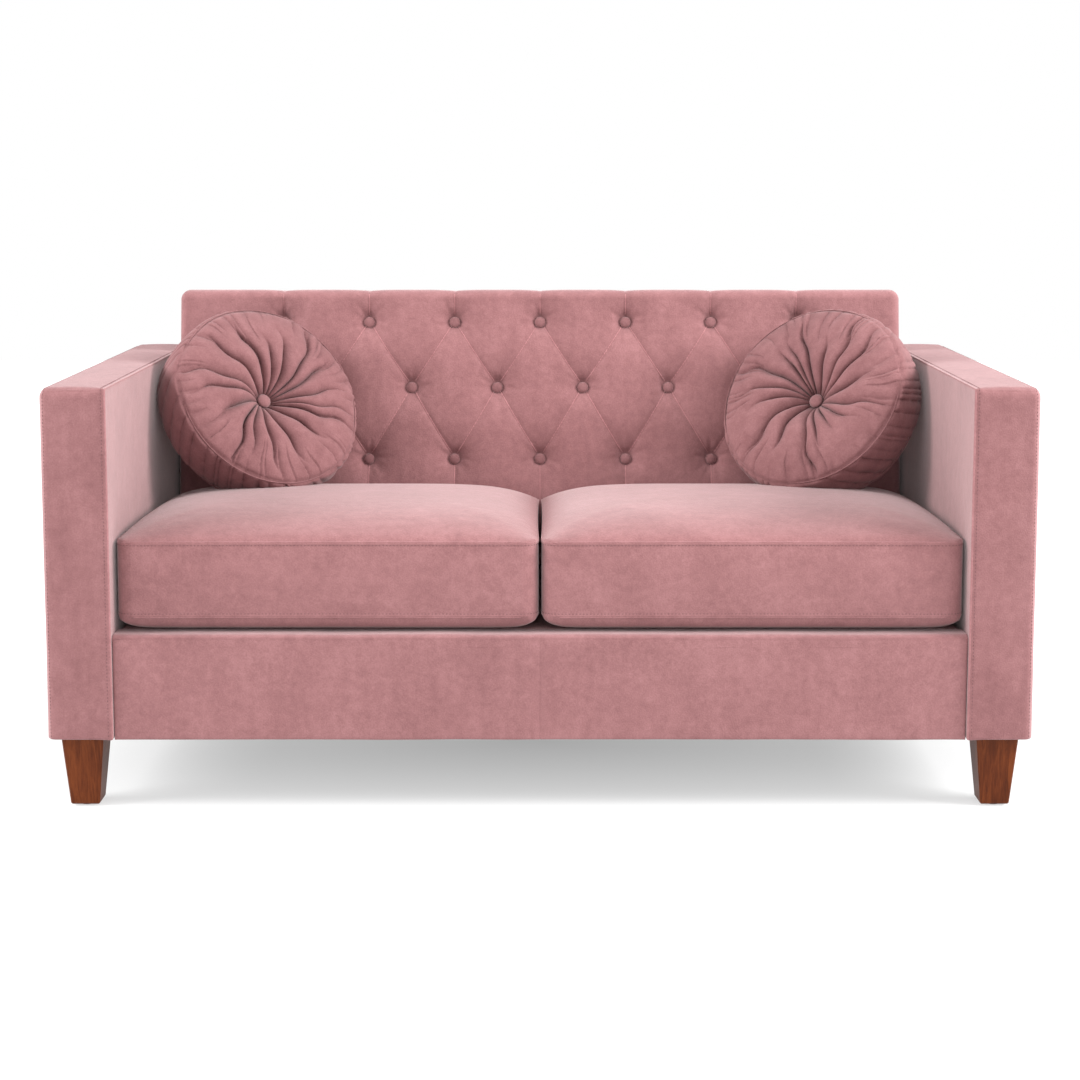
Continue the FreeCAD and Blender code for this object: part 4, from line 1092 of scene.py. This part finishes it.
def settled(points):
    """Flattens the lowest part of a pillow where it sits on the cushion."""
    ground, soft = pillow_middle.z - pillow_settled, 0.004
    below = np.clip(ground + soft - points[:, 2], 0, None)
    lifted = points.copy()
    lifted[:, 2] = np.where(below > 0, ground + soft * np.exp(-below / soft), points[:, 2])
    return lifted


def pillow_place(side):
    """Where a pillow leans: turned towards the middle and tipped back against the pad."""
    middle = Vector((side * pillow_middle.x, pillow_middle.y, pillow_middle.z))
    turned = Matrix.Rotation(-side * pillow_turn, 4, "Z")
    return Matrix.Translation(middle) @ turned @ Matrix.Rotation(pillow_lean, 4, "X")


rim_cord, rim_inset, rim_down, button_clear = 0.0009, 0.0014, 0.0012, 0.0004
for side, name, seed in ((-1, "left", 4), (1, "right", 11)):
    bpy.ops.mesh.primitive_uv_sphere_add(segments=160, ring_count=35, radius=1.0)
    pillow = named("round_pillow_" + name + "_cover")
    open_mesh()
    bpy.ops.mesh.subdivide(number_cuts=3)
    close_mesh()
    # Each point keeps a painted shade, which darkens the pillow velvet in its folds.
    folded, painted_fold_shade = gathered(np.array([v.co for v in pillow.data.vertices]), seed)
    reshape(pillow, lambda points: folded)
    painted_shade_layer = pillow.data.attributes.new("painted_fold_shade", "FLOAT", "POINT")
    painted_shade_layer.data.foreach_set("value", painted_fold_shade)
    bpy.ops.object.shade_smooth()
    coat(pillow, velvet_pillow)
    set_in_place(pillow, pillow_place(side))
    reshape(pillow, settled)
    rims = []
    for face in (-1, 1):
        bpy.ops.mesh.primitive_torus_add(
            major_segments=200, minor_segments=8, major_radius=pillow_rim - rim_inset,
            minor_radius=rim_cord, location=(0.0, 0.0, face * (rim_half - rim_down)))
        rim = named("rim_seam")
        bpy.ops.object.transform_apply()
        bpy.ops.object.shade_smooth()
        coat(rim, velvet_pillow)
        rims.append(set_in_place(rim, pillow_place(side)))
        reshape(rim, settled)
    rim_seams = joined("round_pillow_" + name + "_rim_seams", *rims)
    buttons = []
    for turned in (0, 180):
        button = covered_button("pillow_button", pillow_button, pillow_button_high)
        coat(button, velvet_button)
        seat = (Matrix.Rotation(math.radians(turned), 4, "X")
                @ Matrix.Translation((0, 0, waist_half + button_clear)))
        buttons.append(set_in_place(button, pillow_place(side) @ seat))
    button_pair = joined("round_pillow_" + name + "_covered_buttons", *buttons)
    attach(pillow, "round_pillow_" + name)
    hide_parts("round_pillow_cover_" + name, "round_pillow_fill_" + name)
    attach(rim_seams, "round_pillow_" + name)
    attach(button_pair, "round_pillow_" + name)
    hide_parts("round_pillow_buttons_" + name)


# Studio: a white floor that glows by itself, with a painted shadow under the seat, where the glow
# is turned down to grey, and a white sky. Two large softboxes stand left and right, and weak ones
# above and behind the camera.
# The camera is in front, above the seat, looking slightly down.
bpy.ops.mesh.primitive_plane_add(size=14.0, location=(0.0, 0.0, 0.0))
floor = named("studio_floor")
white = new_finish("floor_white_painted_shadow", 0.9, emission_strength=1.0)
wash = speckle(white, 0.4, 2.0)
toned(white, wash, (0.3, (0.33, 0.33, 0.33)), (0.7, (0.36, 0.36, 0.36)))
# Painted shadow: a pool that turns the floor's glow down to grey under the seat.
floor_place = node(white, "TexCoord").outputs["Object"]
painted_shadow_reach = node(white, "Mapping", Vector=floor_place, Scale=(0.27, 0.76, 0.36))
painted_shadow_pool = node(white, "TexGradient", Vector=painted_shadow_reach.outputs["Vector"])
painted_shadow_pool.gradient_type = "SPHERICAL"
toned(white, painted_shadow_pool.outputs["Fac"], (0.10, (1.0, 1.0, 1.0)), (1.0, (0.36, 0.36, 0.36)),
      into="Emission Color")
coat(floor, white)

sky = bpy.data.worlds.new("studio_sky")
sky.use_nodes = True
sky_light = sky.node_tree.nodes["Background"].inputs
sky_light["Color"].default_value = (1.0, 1.0, 1.0, 1.0)
sky_light["Strength"].default_value = 1.0
bpy.context.scene.world = sky


def softbox(name, place, aim, size, watts):
    """A square panel of light that faces a point."""
    lamp = bpy.data.lights.new(name, "AREA")
    set_up(lamp, size=size, energy=watts)
    panel = bpy.data.objects.new(name, lamp)
    panel.location = place
    panel.rotation_mode = "QUATERNION"
    panel.rotation_quaternion = (Vector(aim) - Vector(place)).to_track_quat("-Z", "Y")
    bpy.context.scene.collection.objects.link(panel)


softbox("right_light", (4.0, -1.0, 2.5), (0.0, -0.1, 0.45), 2.0, 340.0)
softbox("left_light", (-4.0, -1.0, 2.4), (0.0, -0.1, 0.45), 2.0, 245.0)
softbox("top_light", (0.5, -0.9, 3.2), (0.0, -0.1, 0.40), 1.4, 20.0)
softbox("front_light", (0.4, -4.8, 1.5), (0.0, -0.3, 0.40), 2.4, 50.0)

look_down = 6.5
lens = bpy.data.cameras.new("photo_camera")
set_up(lens, sensor_width=36.0, lens=68.4, shift_y=-0.131)
camera = bpy.data.objects.new("photo_camera", lens)
camera.location = (0.0, -3.491, 1.001)
camera.rotation_euler = (math.radians(90.0 - look_down), 0.0, 0.0)
bpy.context.scene.collection.objects.link(camera)
bpy.context.scene.camera = camera
bpy.context.scene.view_settings.view_transform = "Standard"
